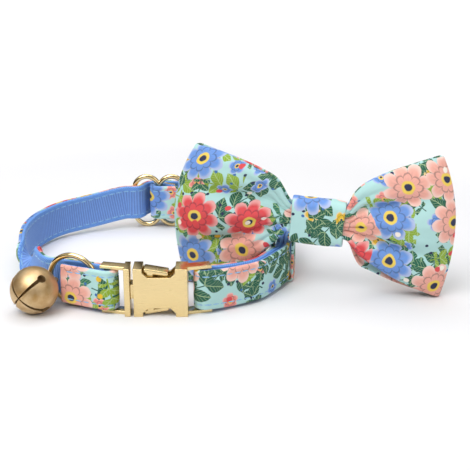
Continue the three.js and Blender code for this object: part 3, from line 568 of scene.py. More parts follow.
def grosgrain(colours):
    """Polyester grosgrain ribbon: soft satin ribs across it with painted shade in the grooves, and a
    twilled selvage at each edge.
    """
    material, tree = material_tree("blue_polyester_grosgrain")
    chart = add(tree, "ShaderNodeUVMap", uv_map="cloth_mm")
    parts = add(tree, "ShaderNodeSeparateXYZ", [chart])
    # A rib is 1 mm, as in the ribbon's mesh. The groove between two ribs is painted darker, as painted
    # shade.
    painted_groove_shade = calculate(tree, parts.outputs[0], ("MULTIPLY", math.tau), ("COSINE",), ("MULTIPLY", -0.5),
                       ("ADD", 0.5), ("SUBTRACT", 1.0), ("MULTIPLY", -0.55))
    # The selvage's twill lines are 0.3 mm apart, drawn at 0.7 mm so that they show
    slant = calculate(tree, parts.outputs[0], ("ADD", parts.outputs[1]), ("MULTIPLY", math.tau / 0.7),
                      ("SINE",), ("MULTIPLY", 0.5), ("ADD", 0.5))
    border = calculate(tree, parts.outputs[1], ("ABSOLUTE",), ("FADE", 5.5, 5.2))
    patchy = add(tree, "ShaderNodeTexNoise", {"Vector": chart, "Scale": 0.9, "Detail": 5.0},
                 noise_dimensions="2D")
    edge = layered(tree, linear(0x74ACEA), (linear(0x3C72D0), slant))
    cloth = layered(tree, (*colours.ribbon, 1), (linear(0x3355A6), painted_groove_shade), (edge, border),
                    (linear(0xA9CBF6), calculate(tree, patchy, ("MULTIPLY", 0.16))))
    height = calculate(tree, slant, ("MULTIPLY", border), ("ADD", patchy))
    bump = add(tree, "ShaderNodeBump", {"Strength": 0.35, "Distance": 0.1 * MM, "Height": height})
    surface = add(tree, "ShaderNodeBsdfPrincipled", {
        "Base Color": cloth, "Roughness": 0.62, "Normal": bump,
        "Sheen Weight": 0.2, "Sheen Roughness": 0.35})
    add(tree, "ShaderNodeOutputMaterial", [surface])
    return material


def thread(name, colour):
    """Spun polyester sewing thread: two twisted plies, with a slight lustre."""
    material, tree = material_tree(name)
    where = add(tree, "ShaderNodeTexCoord").outputs["Object"]
    # The plies turn once in 0.6 mm
    twist = add(tree, "ShaderNodeTexWave", {"Vector": where, "Scale": 520.0, "Distortion": 1.5},
                bands_direction="DIAGONAL").outputs["Fac"]
    shadow = (*(c * 0.72 for c in colour), 1)
    ink = layered(tree, (*colour, 1), (shadow, calculate(tree, twist, ("MULTIPLY", 0.5))))
    bump = add(tree, "ShaderNodeBump", {"Strength": 0.3, "Distance": 0.05 * MM, "Height": twist})
    surface = add(tree, "ShaderNodeBsdfPrincipled", {
        "Base Color": ink, "Roughness": 0.55, "Normal": bump, "Sheen Weight": 0.2})
    add(tree, "ShaderNodeOutputMaterial", [surface])
    return material


def gold_plate(name, colour, roughness, grain):
    """Cast zinc alloy, polished and plated pale gold: bright, with faint polishing lines."""
    material, tree = material_tree(name)
    where = add(tree, "ShaderNodeTexCoord").outputs["Object"]
    stretched = add(tree, "ShaderNodeMapping", {"Vector": where, "Scale": (120.0, 120.0, 5000.0)})
    lines = add(tree, "ShaderNodeTexNoise", {"Vector": stretched, "Scale": 1.0, "Detail": 3.0})
    gloss = add(tree, "ShaderNodeMapRange", {"Value": lines, "From Min": 0.3, "From Max": 0.7,
                                             "To Min": roughness * 0.85, "To Max": roughness * 1.2})
    bump = add(tree, "ShaderNodeBump", {"Strength": grain, "Distance": 0.03 * MM, "Height": lines})
    surface = add(tree, "ShaderNodeBsdfPrincipled", {
        "Base Color": (*colour, 1), "Metallic": 1.0, "Roughness": gloss, "Normal": bump})
    add(tree, "ShaderNodeOutputMaterial", [surface])
    return material


def antique_brass(colour):
    """Spun steel bell, antique brass plated: satin, and browner in patches."""
    material, tree = material_tree("antique_brass_plated_steel")
    where = add(tree, "ShaderNodeTexCoord").outputs["Object"]
    cloudy = add(tree, "ShaderNodeTexNoise", {"Vector": where, "Scale": 160.0, "Detail": 5.0})
    fine = add(tree, "ShaderNodeTexNoise", {"Vector": where, "Scale": 2600.0, "Detail": 3.0})
    ink = layered(tree, (*colour, 1), (linear(0xB08A54), calculate(tree, cloudy, ("FADE", 0.75, 0.35))))
    gloss = add(tree, "ShaderNodeMapRange", {"Value": cloudy, "To Min": 0.40, "To Max": 0.55})
    bump = add(tree, "ShaderNodeBump", {"Strength": 0.18, "Distance": 0.03 * MM, "Height": fine})
    surface = add(tree, "ShaderNodeBsdfPrincipled", {
        "Base Color": ink, "Metallic": 1.0, "Roughness": gloss, "Normal": bump})
    add(tree, "ShaderNodeOutputMaterial", [surface])
    return material


# Settings that a user would change

def ink_setting(name, description, code):
    """A colour that a user would change, from its sRGB hex value."""
    return FloatVectorProperty(name=name, description=description, subtype="COLOR",
                               default=linear(code)[:3], min=0, max=1)


def length_setting(name, description, millimetres, least=0.0):
    """A length that a user would change."""
    return FloatProperty(name=name, description=description, unit="LENGTH",
                         default=millimetres * MM, min=least * MM)


class ClothColours(bpy.types.PropertyGroup):
    """Inks of the print, and the ribbon and threads."""

    ground: ink_setting("Ground", "Pale aqua ground of the print", 0xB4DDDA)
    coral: ink_setting("Coral", "Coral red flowers", 0xE4484C)
    blush: ink_setting("Blush", "Blush pink flowers", 0xF3B09F)
    blue: ink_setting("Blue", "Cornflower blue flowers", 0x6C98DE)
    yellow: ink_setting("Yellow", "Mustard yellow flowers", 0xE9BE2A)
    leaf: ink_setting("Leaf", "Deep green leaves", 0x1D5A45)
    lime: ink_setting("Lime", "Lime green leaves", 0x8FAE2C)
    navy: ink_setting("Navy", "Navy flower hearts and berries", 0x26284E)
    ribbon: ink_setting("Ribbon", "Blue grosgrain ribbon", 0x739FE4)
    thread: ink_setting("Thread", "Topstitching on both faces of the strap", 0x8FC1EA)


class MetalColours(bpy.types.PropertyGroup):
    """Platings of the fittings."""

    gold: ink_setting("Gold", "Pale gold plating of the buckle, ring and slider", 0xE9D19B)
    brass: ink_setting("Brass", "Antique brass plating of the bell", 0xD6BC92)


class StrapSizes(bpy.types.PropertyGroup):
    """Sizes of the strap's surface and seams."""

    stitch: length_setting("Stitch", "Length of one stitch", 2.5, 0.5)
    gap: length_setting("Gap", "Cloth between two stitches", 0.5)
    inset: length_setting("Inset", "Seam's distance from the strap's edge", 2.0)
    thread: length_setting("Thread", "Radius of the thread", 0.23, 0.05)
    rib: length_setting("Rib", "Distance from rib to rib of the ribbon", 1.0, 0.3)
    rib_depth: length_setting("Rib depth", "Depth between two ribs", 0.24)
    dip: length_setting("Dip", "How deep the seam draws the cloth in", 0.22)


class BowSizes(bpy.types.PropertyGroup):
    """Sizes of the bow's cloth."""

    cloth: length_setting("Cloth", "Thickness of the doubled cloth", 1.2, 0.3)
    crease: length_setting("Crease", "Depth of the two creases beside the knot", 4.2)
    wrinkle: length_setting("Wrinkle", "Height of the small wrinkles", 0.50)


class MetalSizes(bpy.types.PropertyGroup):
    """Sizes of the fittings' edges."""

    edge: length_setting("Edge", "Rounding of the buckle's edges", 0.35)


# Cloth pieces

def seam_lines(sizes):
    """The seam's distance from the strap's middle line, in millimetres."""
    return STRAP_WIDTH / 2 - sizes.inset / MM


def seam_dip(sizes, travelled, across):
    """How far the cloth is drawn in at a place on the strap, in millimetres."""
    pitch = (sizes.stitch + sizes.gap) / MM
    pulse = 0.72 + 0.28 * math.cos(math.tau * travelled / pitch)
    line = (abs(across) - seam_lines(sizes)) / 0.55
    return sizes.dip / MM * pulse * math.exp(-line * line)


def band_section(width, edge, columns):
    """Places across a band: outer face from edge to edge, then the inner face back."""
    reach = width / 2 - edge
    outer = [(-reach + 2 * reach * i / columns, 1.0) for i in range(columns + 1)]
    bend = [math.radians(a) for a in (30, 60, 90)]
    right = [(reach + edge * math.sin(a), math.cos(a)) for a in bend]
    left = [(-across, level) for across, level in reversed(right)]
    inner = [(width / 2 - 0.06, -1.0), (0.0, -1.0), (-width / 2 + 0.06, -1.0)]
    return outer + right + inner + left


def face_mesh(name, width, edge, columns, step, way, relief):
    """One face of the strap, rounded over its edges: way is 1 for the print and -1 for the ribbon.

    relief gives a place's height over the plain face, from its distances along and across the strap.
    """
    section = band_section(width, edge, columns)
    rows, along = [], []
    for travelled, middle, face, aside in strap_frames(step):
        row = []
        for across, level in section:
            height = HIDDEN_SIDE
            if level >= 0:
                height = FACE_START + level * (STRAP_HALF - FACE_START + relief(travelled, across))
            row.append(middle + face * height * way + aside * across)
        rows.append(row)
        along.append(travelled)
    places = [across for across, _ in section]
    return grid_mesh(name, rows, along, places + places[:1], wrap_columns=True, caps=True)


def cover_mesh(sizes):
    """The printed face, puffed between its seams."""
    def relief(travelled, across):
        crown = 0.06 * math.cos(math.pi * across / STRAP_WIDTH)
        sway = CLOTH_SWAY * noise.noise(Vector((travelled / 7, across / 3, 4.2)))
        return crown + sway - seam_dip(sizes, travelled, across)

    return face_mesh("strap_cover_cloth", STRAP_WIDTH, edge=0.8, columns=22,
                     step=COVER_STEP, way=1, relief=relief)


def ribbon_mesh(sizes):
    """The ribbon face: ribs across it between the seams, and a plain selvage outside them."""
    ribbed = seam_lines(sizes) - 0.7

    def relief(travelled, across):
        rib = 0.5 + 0.5 * math.cos(math.tau * travelled * MM / sizes.rib)
        depth = sizes.rib_depth / MM * rib if abs(across) < ribbed else 0.0
        sway = CLOTH_SWAY * noise.noise(Vector((travelled / 6, across / 3, 9.7)))
        return sway - depth - seam_dip(sizes, travelled, across)

    return face_mesh("ribbon_lining_cloth", LINING_WIDTH, edge=0.45, columns=14,
                     step=RIBBON_STEP, way=-1, relief=relief)


def stitch_tree(material):
    """A Geometry Nodes tree that lays stitches end to end along the lines of a mesh."""
    tree = bpy.data.node_groups.new("topstitching", "GeometryNodeTree")
    face = tree.interface
    face.new_socket("Geometry", in_out="INPUT", socket_type="NodeSocketGeometry")
    for name, default in (("Stitch", 0.0025), ("Gap", 0.0005), ("Thread radius", 0.00017)):
        face.new_socket(name, in_out="INPUT", socket_type="NodeSocketFloat").default_value = default
    face.new_socket("Seed", in_out="INPUT", socket_type="NodeSocketInt").default_value = 7
    face.new_socket("Geometry", in_out="OUTPUT", socket_type="NodeSocketGeometry")
    given = add(tree, "NodeGroupInput")
    lines = add(tree, "GeometryNodeMeshToCurve", [given.outputs["Geometry"]])
    pitch = add(tree, "ShaderNodeMath", [given.outputs["Stitch"], given.outputs["Gap"]], operation="ADD")
    spaced = add(tree, "GeometryNodeResampleCurve", {"Curve": lines, "Length": pitch}, mode="LENGTH")
    heading = add(tree, "GeometryNodeInputTangent")
    turned = add(tree, "FunctionNodeAlignRotationToVector", {"Vector": heading}, axis="Z")
    half = add(tree, "ShaderNodeMath", [given.outputs["Stitch"], 0.5], operation="MULTIPLY")
    size = add(tree, "ShaderNodeCombineXYZ",
               [given.outputs["Thread radius"], given.outputs["Thread radius"], half])
    bead = add(tree, "GeometryNodeMeshUVSphere", {"Segments": 8, "Rings": 7, "Radius": 1.0})
    capsule = add(tree, "GeometryNodeTransform", {"Geometry": bead.outputs["Mesh"], "Scale": size})
    vary = add(tree, "FunctionNodeRandomValue",
               {2: 0.9, 3: 1.08, "Seed": given.outputs["Seed"]}, data_type="FLOAT")
    placed = add(tree, "GeometryNodeInstanceOnPoints",
                 {"Points": spaced, "Instance": capsule, "Rotation": turned, "Scale": vary.outputs[1]})
    real = add(tree, "GeometryNodeRealizeInstances", [placed])
    smooth = add(tree, "GeometryNodeSetShadeSmooth", [real])
    coloured = add(tree, "GeometryNodeSetMaterial", {"Geometry": smooth, "Material": material})
    add(tree, "NodeGroupOutput", [coloured])
    return tree


def stitched(name, lines, sizes, material):
    """Stitches along lines of points in millimetres, as one plain mesh."""
    points = [point * MM for line in lines for point in line]
    edges, start = [], 0
    for line in lines:
        edges += [(start + i, start + i + 1) for i in range(len(line) - 1)]
        start += len(line)
    guide = bpy.data.meshes.new(name + "_guide")
    guide.from_pydata(points, edges, [])
    carrier = new_object(name + "_guide", guide, None)
    tree = stitch_tree(material)
    modifier = carrier.modifiers.new("Stitches", "NODES")
    modifier.node_group = tree
    values = {"Stitch": sizes.stitch, "Gap": sizes.gap, "Thread radius": sizes.thread, "Seed": 7}
    for socket in tree.interface.items_tree:
        if socket.in_out == "INPUT" and socket.name in values:
            modifier[socket.identifier] = values[socket.name]
    shown = carrier.evaluated_get(bpy.context.evaluated_depsgraph_get())
    mesh = bpy.data.meshes.new_from_object(shown)
    if not mesh.polygons:
        raise RuntimeError("the topstitching tree gave no stitches")
    bpy.data.objects.remove(carrier)
    bpy.data.node_groups.remove(tree)
    return new_object(name, mesh, material)


def wing_point(way, face, s, v, sizes):
    """A point of a wing's middle surface, in the bow's own place.

    way is 1 right or -1 left, face is -1 front or 1 back, s runs from the pinch to the end fold
    and v from -1 at the bottom edge to 1 at the top edge.
    """
    table, corners = (RIGHT_WING, RIGHT_CORNERS) if way > 0 else (LEFT_WING, LEFT_CORNERS)
    top, low, bulge, pleat, drop = [between(table, column, s) for column in range(1, 6)]
    top, low = top * BOW_HEIGHT, low * BOW_HEIGHT
    if face > 0:
        low -= drop * BOW_HEIGHT
        top -= BACK_SHORT * max(0.0, bulge)
    bottom = max(0.0, low)
    near = max(0.0, 1 - abs(s - CREASE_PLACE) / CREASE_REACH) ** 1.3
    narrow = 0.045 + 0.08 * s
    crease = sum(math.exp(-((v - line) / narrow) ** 2) for line in (-VALLEY, VALLEY))
    fine = noise.noise(Vector((s * 2.2 + 5 * way, v * 7.5, 3.1 * face)))
    fine += 0.6 * noise.noise(Vector((s * 5.0 + 9 * way, v * 15.0, 7.7 * face)))
    ripple = math.cos(math.pi * v / VALLEY) * PLEAT_DEPTH / 2 * pleat
    ripple -= sizes.crease / MM * near * crease
    ripple += GATHER_DEPTH * near * near * math.cos(math.pi * v / GATHER)
    ripple += sizes.wrinkle / MM * fine * min(1.0, (1 - s) / 0.12) * (0.35 + near)
    swell = bulge * BOW_BULGE * (1 - BOW_CLOSING * v ** 4 if bulge > 0 else 1)
    depth = 0.0 if s >= 1 else max(LEAST_DEPTH, PINCH_DEPTH + swell + ripple)
    draw_in = (corners[0] if v > 0 else corners[1]) * v * v
    return Vector((way * s * BOW_HALF_LENGTH * (1 - draw_in), face * depth,
                   bottom + (top - bottom) * (v + 1) / 2))


def distances(points):
    """How far each point lies along a line of points."""
    reach = [0.0]
    for a, b in zip(points, points[1:]):
        reach.append(reach[-1] + (b - a).length)
    return reach


def wings_mesh(sizes):
    """One loop of cloth, open at its top and bottom edges, pinched under the knot."""
    steps = [1 - (1 - i / 30) ** 1.25 for i in range(31)]
    stops = [(-1, -1, s) for s in reversed(steps)]
    stops += [(1, -1, s) for s in steps[1:]]
    stops += [(1, 1, s) for s in reversed(steps[:-1])]
    stops += [(-1, 1, s) for s in steps[1:-1]]
    levels = [-1 + j / WING_MIDDLE for j in range(2 * WING_MIDDLE + 1)]
    rows = [[BOW_PLACE @ wing_point(way, face, s, v, sizes) for v in levels] for way, face, s in stops]
    along = distances([row[WING_MIDDLE] for row in (*rows, rows[0])])
    # The print keeps its scale where the cloth is gathered, as its folds hide the rest of it
    across = []
    for row in rows:
        reach = distances(row)
        across.append([place - reach[WING_MIDDLE] for place in reach])
    return grid_mesh("bow_wings_cloth", rows, along, across, wrap_rows=True)


def rounded_section(width, height, corner, steps, straight):
    """Points round a rounded rectangle, and the distance round it at each."""
    points = []
    for (cx, cy), start in (((1, 1), 0), ((-1, 1), 90), ((-1, -1), 180), ((1, -1), 270)):
        centre = Vector((cx * (width / 2 - corner), cy * (height / 2 - corner)))
        points += arc(centre, corner, start, start + 90, steps)
    dense = []
    for i, point in enumerate(points):
        after = points[(i + 1) % len(points)]
        count = max(1, round((after - point).length / straight))
        dense += [point.lerp(after, j / count) for j in range(count)]
    return dense, distances([*dense, dense[0]])


def knot_mesh():
    """The wrapped band at the bow's middle, with the soft dents of cloth pulled round."""
    section, round_it = rounded_section(
        KNOT_DEPTH - KNOT_CLOTH, KNOT_HEIGHT - KNOT_CLOTH, KNOT_CORNER - KNOT_CLOTH / 2,
        steps=6, straight=0.9)
    half = (KNOT_WIDTH - 0.3) / 2
    offsets = [-half + 2 * half * i / 24 for i in range(25)]

    def place(point, offset):
        crown = 0.42 * (1 - (offset / half) ** 2)
        dent = 0.35 * noise.noise(Vector((offset / 4.5, point.y / 9, 1.3 + point.x / 6)))
        waist = 1 - 0.035 * math.cos(math.pi * point.y / KNOT_HEIGHT)
        moved = point + point.normalized() * (crown + dent - 0.30)
        return KNOT_PLACE @ Vector((offset * waist, moved.x, moved.y))

    rows = [[place(point, offset) for offset in offsets] for point in section]
    return grid_mesh("bow_knot_cloth", rows, round_it, offsets, wrap_rows=True)


def back_loop_mesh():
    """The narrow loop behind the knot, round both layers of the strap."""
    low, high = [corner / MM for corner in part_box("back_loop")]
    inverse = BOW_PLACE.inverted()
    corners = [inverse @ Vector((x, y, 0)) for x in (low[0], high[0]) for y in (low[1], high[1])]
    middle = sum(corner.x for corner in corners) / 4
    width = LAY_DISTANCE + 2 * STRAP_HALF + 2 * (LAYER_GAP + LOOP_THICK) + LOOP_EASE
    section, round_it = rounded_section(
        width - LOOP_THICK, high[2] - low[2] - LOOP_THICK, LOOP_CORNER - LOOP_THICK / 2,
        steps=4, straight=1.2)
    near = KNOT_DEPTH / 2 + LAYER_GAP
    offsets = [near + 0.1 + (LOOP_BAND - 0.2) * i / 8 for i in range(9)]

    def place(point, offset):
        dent = 0.12 * noise.noise(Vector((offset / 3, point.y / 6, point.x / 4)))
        return BOW_PLACE @ Vector((middle + point.x + point.normalized().x * dent, offset,
                                   (low[2] + high[2]) / 2 + point.y))

    rows = [[place(point, offset) for offset in offsets] for point in section]
    return grid_mesh("back_loop_cloth", rows, round_it, offsets, wrap_rows=True)


def thickened(piece, thickness):
    """Gives a sheet its thickness and rounds its folded edges."""
    wall = piece.modifiers.new("Doubled cloth", "SOLIDIFY")
    wall.thickness = thickness
    wall.offset = 0.0
    wall.use_even_offset = False
    soft = piece.modifiers.new("Soft edges", "SUBSURF")
    soft.levels = soft.render_levels = 1
    soft.uv_smooth = "NONE"


# Metal pieces

def node_copy(name, node, material):
    """A merged copy of a frame solid, with its flat faces whole."""
    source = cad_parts[node]
    solid = bmesh.new()
    solid.from_mesh(source.data)
    bmesh.ops.remove_doubles(solid, verts=solid.verts, dist=0.01 * MM)
    bmesh.ops.dissolve_limit(solid, angle_limit=math.radians(1), verts=solid.verts, edges=solid.edges)
    mesh = made_mesh(name, solid)
    mesh.transform(source.matrix_world)
    mesh.shade_smooth()
    return new_object(name, mesh, material)


def eased(piece, width):
    """Rounds a metal piece's edges and keeps its flats flat."""
    bevel = piece.modifiers.new("Eased edges", "BEVEL")
    bevel.width = width
    bevel.segments = 3
    bevel.limit_method = "ANGLE"
    bevel.angle_limit = math.radians(30)
    bevel.harden_normals = True
    bevel.use_clamp_overlap = True


def apply_modifiers(piece):
    """Turns a piece's modifiers into its plain mesh."""
    shown = piece.evaluated_get(bpy.context.evaluated_depsgraph_get())
    mesh = bpy.data.meshes.new_from_object(shown)
    piece.modifiers.clear()
    piece.data = mesh


def combined(piece, tool, operation):
    """Joins a tool to a piece or cuts it out of it, and removes the tool."""
    step = piece.modifiers.new("Shape", "BOOLEAN")
    step.operation = operation
    step.solver = "EXACT"
    step.object = tool
    apply_modifiers(piece)
    bpy.data.objects.remove(tool)


def wire_piece(name, loops, radius, sides, material):
    """A piece of one or more closed round wires in one plane, joined where they cross."""
    pieces = []
    for number, points in enumerate(loops):
        count = len(points)
        normal = (points[1] - points[0]).cross(points[count // 3] - points[0]).normalized()
        vertices = []
        for i, point in enumerate(points):
            heading = (points[(i + 1) % count] - points[i - 1]).normalized()
            aside = heading.cross(normal)
            for j in range(sides):
                angle = math.tau * j / sides
                around = aside * math.cos(angle) + normal * math.sin(angle)
                vertices.append((point + around * radius) * MM)
        mesh = bpy.data.meshes.new(name)
        mesh.from_pydata(vertices, [], [[i % count * sides + j % sides for i, j in face]
                                        for face in net(count, sides, True, True)])
        outwards(mesh)
        pieces.append(new_object(f"{name}_{number}" if number else name, mesh, material))
    for other in pieces[1:]:
        combined(pieces[0], other, "UNION")
    pieces[0].data.shade_smooth()
    return pieces[0]


def ring_circle():
    """Points round the leash ring's wire, and its place a little below its left side for the bell."""
    radius = (RING_OUTER - RING_WIRE) / 2
    along = Vector((-math.cos(RING_TURN), math.sin(RING_TURN), 0))
    flap = Vector((-math.cos(FLAP_TURN), math.sin(FLAP_TURN), 0))
    right = Vector((*PLUG_BAR, RING_OUTER / 2)) + flap * RING_ALONG
    centre = right + along * radius
    up = Vector((0, 0, 1))
    turns = [math.tau * i / 96 for i in range(96)]
    points = [centre + (along * math.cos(turn) + up * math.sin(turn)) * radius for turn in turns]
    return points, centre + (along * math.cos(BELL_HOLD) - up * math.sin(BELL_HOLD)) * radius


def slider_ovals():
    """Points round the slider's two oval wires."""
    straight = SLIDER_MIDDLE - SLIDER_WIRE - SLIDER_RADIUS
    ovals = []
    for way in (-1, 1):
        centre = Vector((SLIDER_BAR.x + way * SLIDER_RADIUS, SLIDER_BAR.y, SLIDER_MIDDLE))
        points = []
        for end, start in ((1, 0), (-1, 180)):
            for i in range(25):
                turn = math.radians(start + 180 * i / 24)
                points.append(centre + Vector((SLIDER_RADIUS * math.cos(turn), 0,
                                               end * straight + SLIDER_RADIUS * math.sin(turn))))
        ovals.append(points)
    return ovals


def bell_piece(material):
    """The hollow bell with its crossed slits, drilled ends and hanger, as its solid but round."""
    hang = ring_circle()[1]
    radius = BELL_OUTER / 2
    reach = radius + HANGER_RADIUS - HANGER_WIRE / 2
    back = math.sqrt(reach ** 2 - (hang.z - radius) ** 2)
    centre = Vector((hang.x - back * math.cos(BELL_AZIMUTH), hang.y - back * math.sin(BELL_AZIMUTH),
                     radius))
    axis = (centre - hang).normalized()
    across = Vector((0, 0, 1)).cross(axis).normalized()
    placed = Matrix((across, axis.cross(across), axis)).transposed().to_4x4()
    placed.translation = centre

    def ball(name, size, segments, rings):
        solid = bmesh.new()
        bmesh.ops.create_uvsphere(solid, u_segments=segments, v_segments=rings, radius=size)
        return new_object(name, made_mesh(name, solid), material)

    def cutter(name, turn):
        """A tapered slit, from the pole to the round hole at its end."""
        solid = bmesh.new()
        tip, floor = radius * math.sin(SLIT_END), radius * math.cos(SLIT_END)
        plan = [(-SLIT_NARROW, -SLIT_NARROW / 2), (tip, -SLIT_WIDE / 2),
                (tip, SLIT_WIDE / 2), (-SLIT_NARROW, SLIT_NARROW / 2)]
        lower = [solid.verts.new((x, y, floor)) for x, y in plan]
        upper = [solid.verts.new((x, y, floor + radius)) for x, y in plan]
        solid.faces.new(reversed(lower))
        solid.faces.new(upper)
        for i in range(4):
            j = (i + 1) % 4
            solid.faces.new((lower[i], lower[j], upper[j], upper[i]))
        mesh = made_mesh(name, solid)
        mesh.transform(Matrix.Rotation(turn, 4, "Z"))
        return new_object(name, mesh, None)

    def drill(name, turn):
        solid = bmesh.new()
        bmesh.ops.create_cone(solid, cap_ends=True, segments=24, radius1=HOLE_RADIUS, radius2=HOLE_RADIUS,
                              depth=radius)
        mesh = made_mesh(name, solid)
        mesh.transform(Matrix.Rotation(turn, 4, "Z") @ Matrix.Rotation(SLIT_END, 4, "Y")
                       @ Matrix.Translation((0, 0, radius)))
        return new_object(name, mesh, None)

    bell = ball("bell_shell", radius, segments=96, rings=64)
    turns = [math.tau * i / 40 for i in range(40)]
    loop = [Vector((HANGER_RADIUS * math.cos(turn), 0, HANGER_RADIUS * math.sin(turn) - reach))
            for turn in turns]
    hanger = wire_piece("bell_hanger", [loop], HANGER_WIRE / 2, 14, material)
    # The bell is cut in millimetres and turned to metres at the end
    hanger.data.transform(Matrix.Scale(1 / MM, 4))
    combined(bell, hanger, "UNION")
    combined(bell, ball("bell_inside", radius - BELL_WALL, segments=72, rings=48), "DIFFERENCE")
    for i in range(4):
        turn = SLIT_TURN + i * math.pi / 2
        combined(bell, cutter("bell_slit", turn), "DIFFERENCE")
        combined(bell, drill("bell_drill", turn), "DIFFERENCE")
    bell.data.transform(Matrix.Scale(MM, 4) @ placed)
    bell.data.materials.clear()
    bell.data.materials.append(material)
    bell.data.shade_smooth()
    bell.data.set_sharp_from_angle(angle=math.radians(40))
    return bell


# Operators

class BuildStrap(bpy.types.Operator):
    """Builds the printed face and the ribbon face of the strap."""

    bl_idname = "collar.strap"
    bl_label = "Strap"

    def execute(self, context):
        scene = context.scene
        colours, sizes = scene.cloth_colours, scene.strap_sizes
        length = strap_frames(COVER_STEP)[-1][0] * MM
        cover = new_object("strap_cover_cloth", cover_mesh(sizes),
                           printed_cotton("printed_cotton_poplin_strap", colours, (12, 21)))
        finished(cover, "printed_cotton", "strap_cover")
        ribbon = new_object("ribbon_lining_cloth", ribbon_mesh(sizes), grosgrain(colours))
        finished(ribbon, "grosgrain_ribbon", "ribbon_lining")
        return {"FINISHED"}


class BuildStitches(bpy.types.Operator):
    """Sews the strap along both edges, on both faces."""

    bl_idname = "collar.stitches"
    bl_label = "Topstitching"

    def execute(self, context):
        sizes = context.scene.strap_sizes
        colour = tuple(context.scene.cloth_colours.thread)
        seam = seam_lines(sizes)
        frames = strap_frames(1.0)[3:-3]
        lift = STRAP_HALF - sizes.dip / MM * 0.6
        for name, way in (("print_topstitching", 1), ("ribbon_topstitching", -1)):
            lines = [[middle + face * way * lift + width * side * seam
                      for travelled, middle, face, width in frames] for side in (-1, 1)]
            spun = thread("polyester_thread_" + name.split("_")[0], colour)
            finished(stitched(name, lines, sizes, spun), "grosgrain_ribbon")
        return {"FINISHED"}


class BuildBuckle(bpy.types.Operator):
    """Finishes the buckle's socket, plug and levers."""

    bl_idname = "collar.buckle"
    bl_label = "Buckle"

    def execute(self, context):
        scene = context.scene
        gold = gold_plate("gold_plated_zinc_buckle", tuple(scene.metal_colours.gold),
                          roughness=0.24, grain=0.035)
        for name, node in (("socket_casting", "buckle_socket"), ("plug_casting", "buckle_plug"),
                           ("upper_lever_plate", "upper_lever"), ("lower_lever_plate", "lower_lever")):
            piece = node_copy(name, node, gold)
            eased(piece, scene.metal_sizes.edge)
            finished(piece, "gold_metal", node)
        return {"FINISHED"}


class BuildWires(bpy.types.Operator):
    """Makes the leash ring and the slider from round wire."""

    bl_idname = "collar.wires"
    bl_label = "Ring and slider"

    def execute(self, context):
        gold = gold_plate("gold_plated_wire", tuple(context.scene.metal_colours.gold),
                          roughness=0.13, grain=0.05)
        ring = wire_piece("leash_ring_wire", [ring_circle()[0]], RING_WIRE / 2, WIRE_SIDES, gold)
        finished(ring, "gold_metal", "leash_ring")
        slider = wire_piece("slider_wire", slider_ovals(), SLIDER_WIRE, WIRE_SIDES, gold)
        finished(slider, "gold_metal", "slider")
        return {"FINISHED"}


class BuildBell(bpy.types.Operator):
    """Makes the jingle bell, and finishes its pea."""

    bl_idname = "collar.bell"
    bl_label = "Bell"

    def execute(self, context):
        brass = antique_brass(tuple(context.scene.metal_colours.brass))
        finished(bell_piece(brass), "bell_brass", "bell")
        pea = node_copy("bell_pea_ball", "bell_pea", brass)
        soft = pea.modifiers.new("Round", "SUBSURF")
        soft.levels = soft.render_levels = 1
        finished(pea, "bell_brass", "bell_pea")
        return {"FINISHED"}


class BuildBow(bpy.types.Operator):
    """Makes the bow's wings, the knot and the loop behind it."""

    bl_idname = "collar.bow"
    bl_label = "Bow"

    def execute(self, context):
        scene = context.scene
        colours, sizes = scene.cloth_colours, scene.bow_sizes
        wings = new_object("bow_wings_cloth", wings_mesh(sizes),
                           printed_cotton("printed_cotton_poplin_wings", colours, (140, 52)))
        thickened(wings, sizes.cloth)
        finished(wings, "printed_cotton", "bow_wings")
        # A corner is drawn in by the square of its distance from the middle, so by a third on average
        knot = new_object("bow_knot_cloth", knot_mesh(),
                          printed_cotton("printed_cotton_poplin_knot", colours, (260, 18)))
        thickened(knot, KNOT_CLOTH * MM * 0.9)
        finished(knot, "printed_cotton", "bow_knot")
        loop = new_object("back_loop_cloth", back_loop_mesh(),
                          printed_cotton("printed_cotton_poplin_loop", colours, (310, 77)))
        thickened(loop, LOOP_THICK * MM * 0.9)
        finished(loop, "printed_cotton", "back_loop")
        return {"FINISHED"}


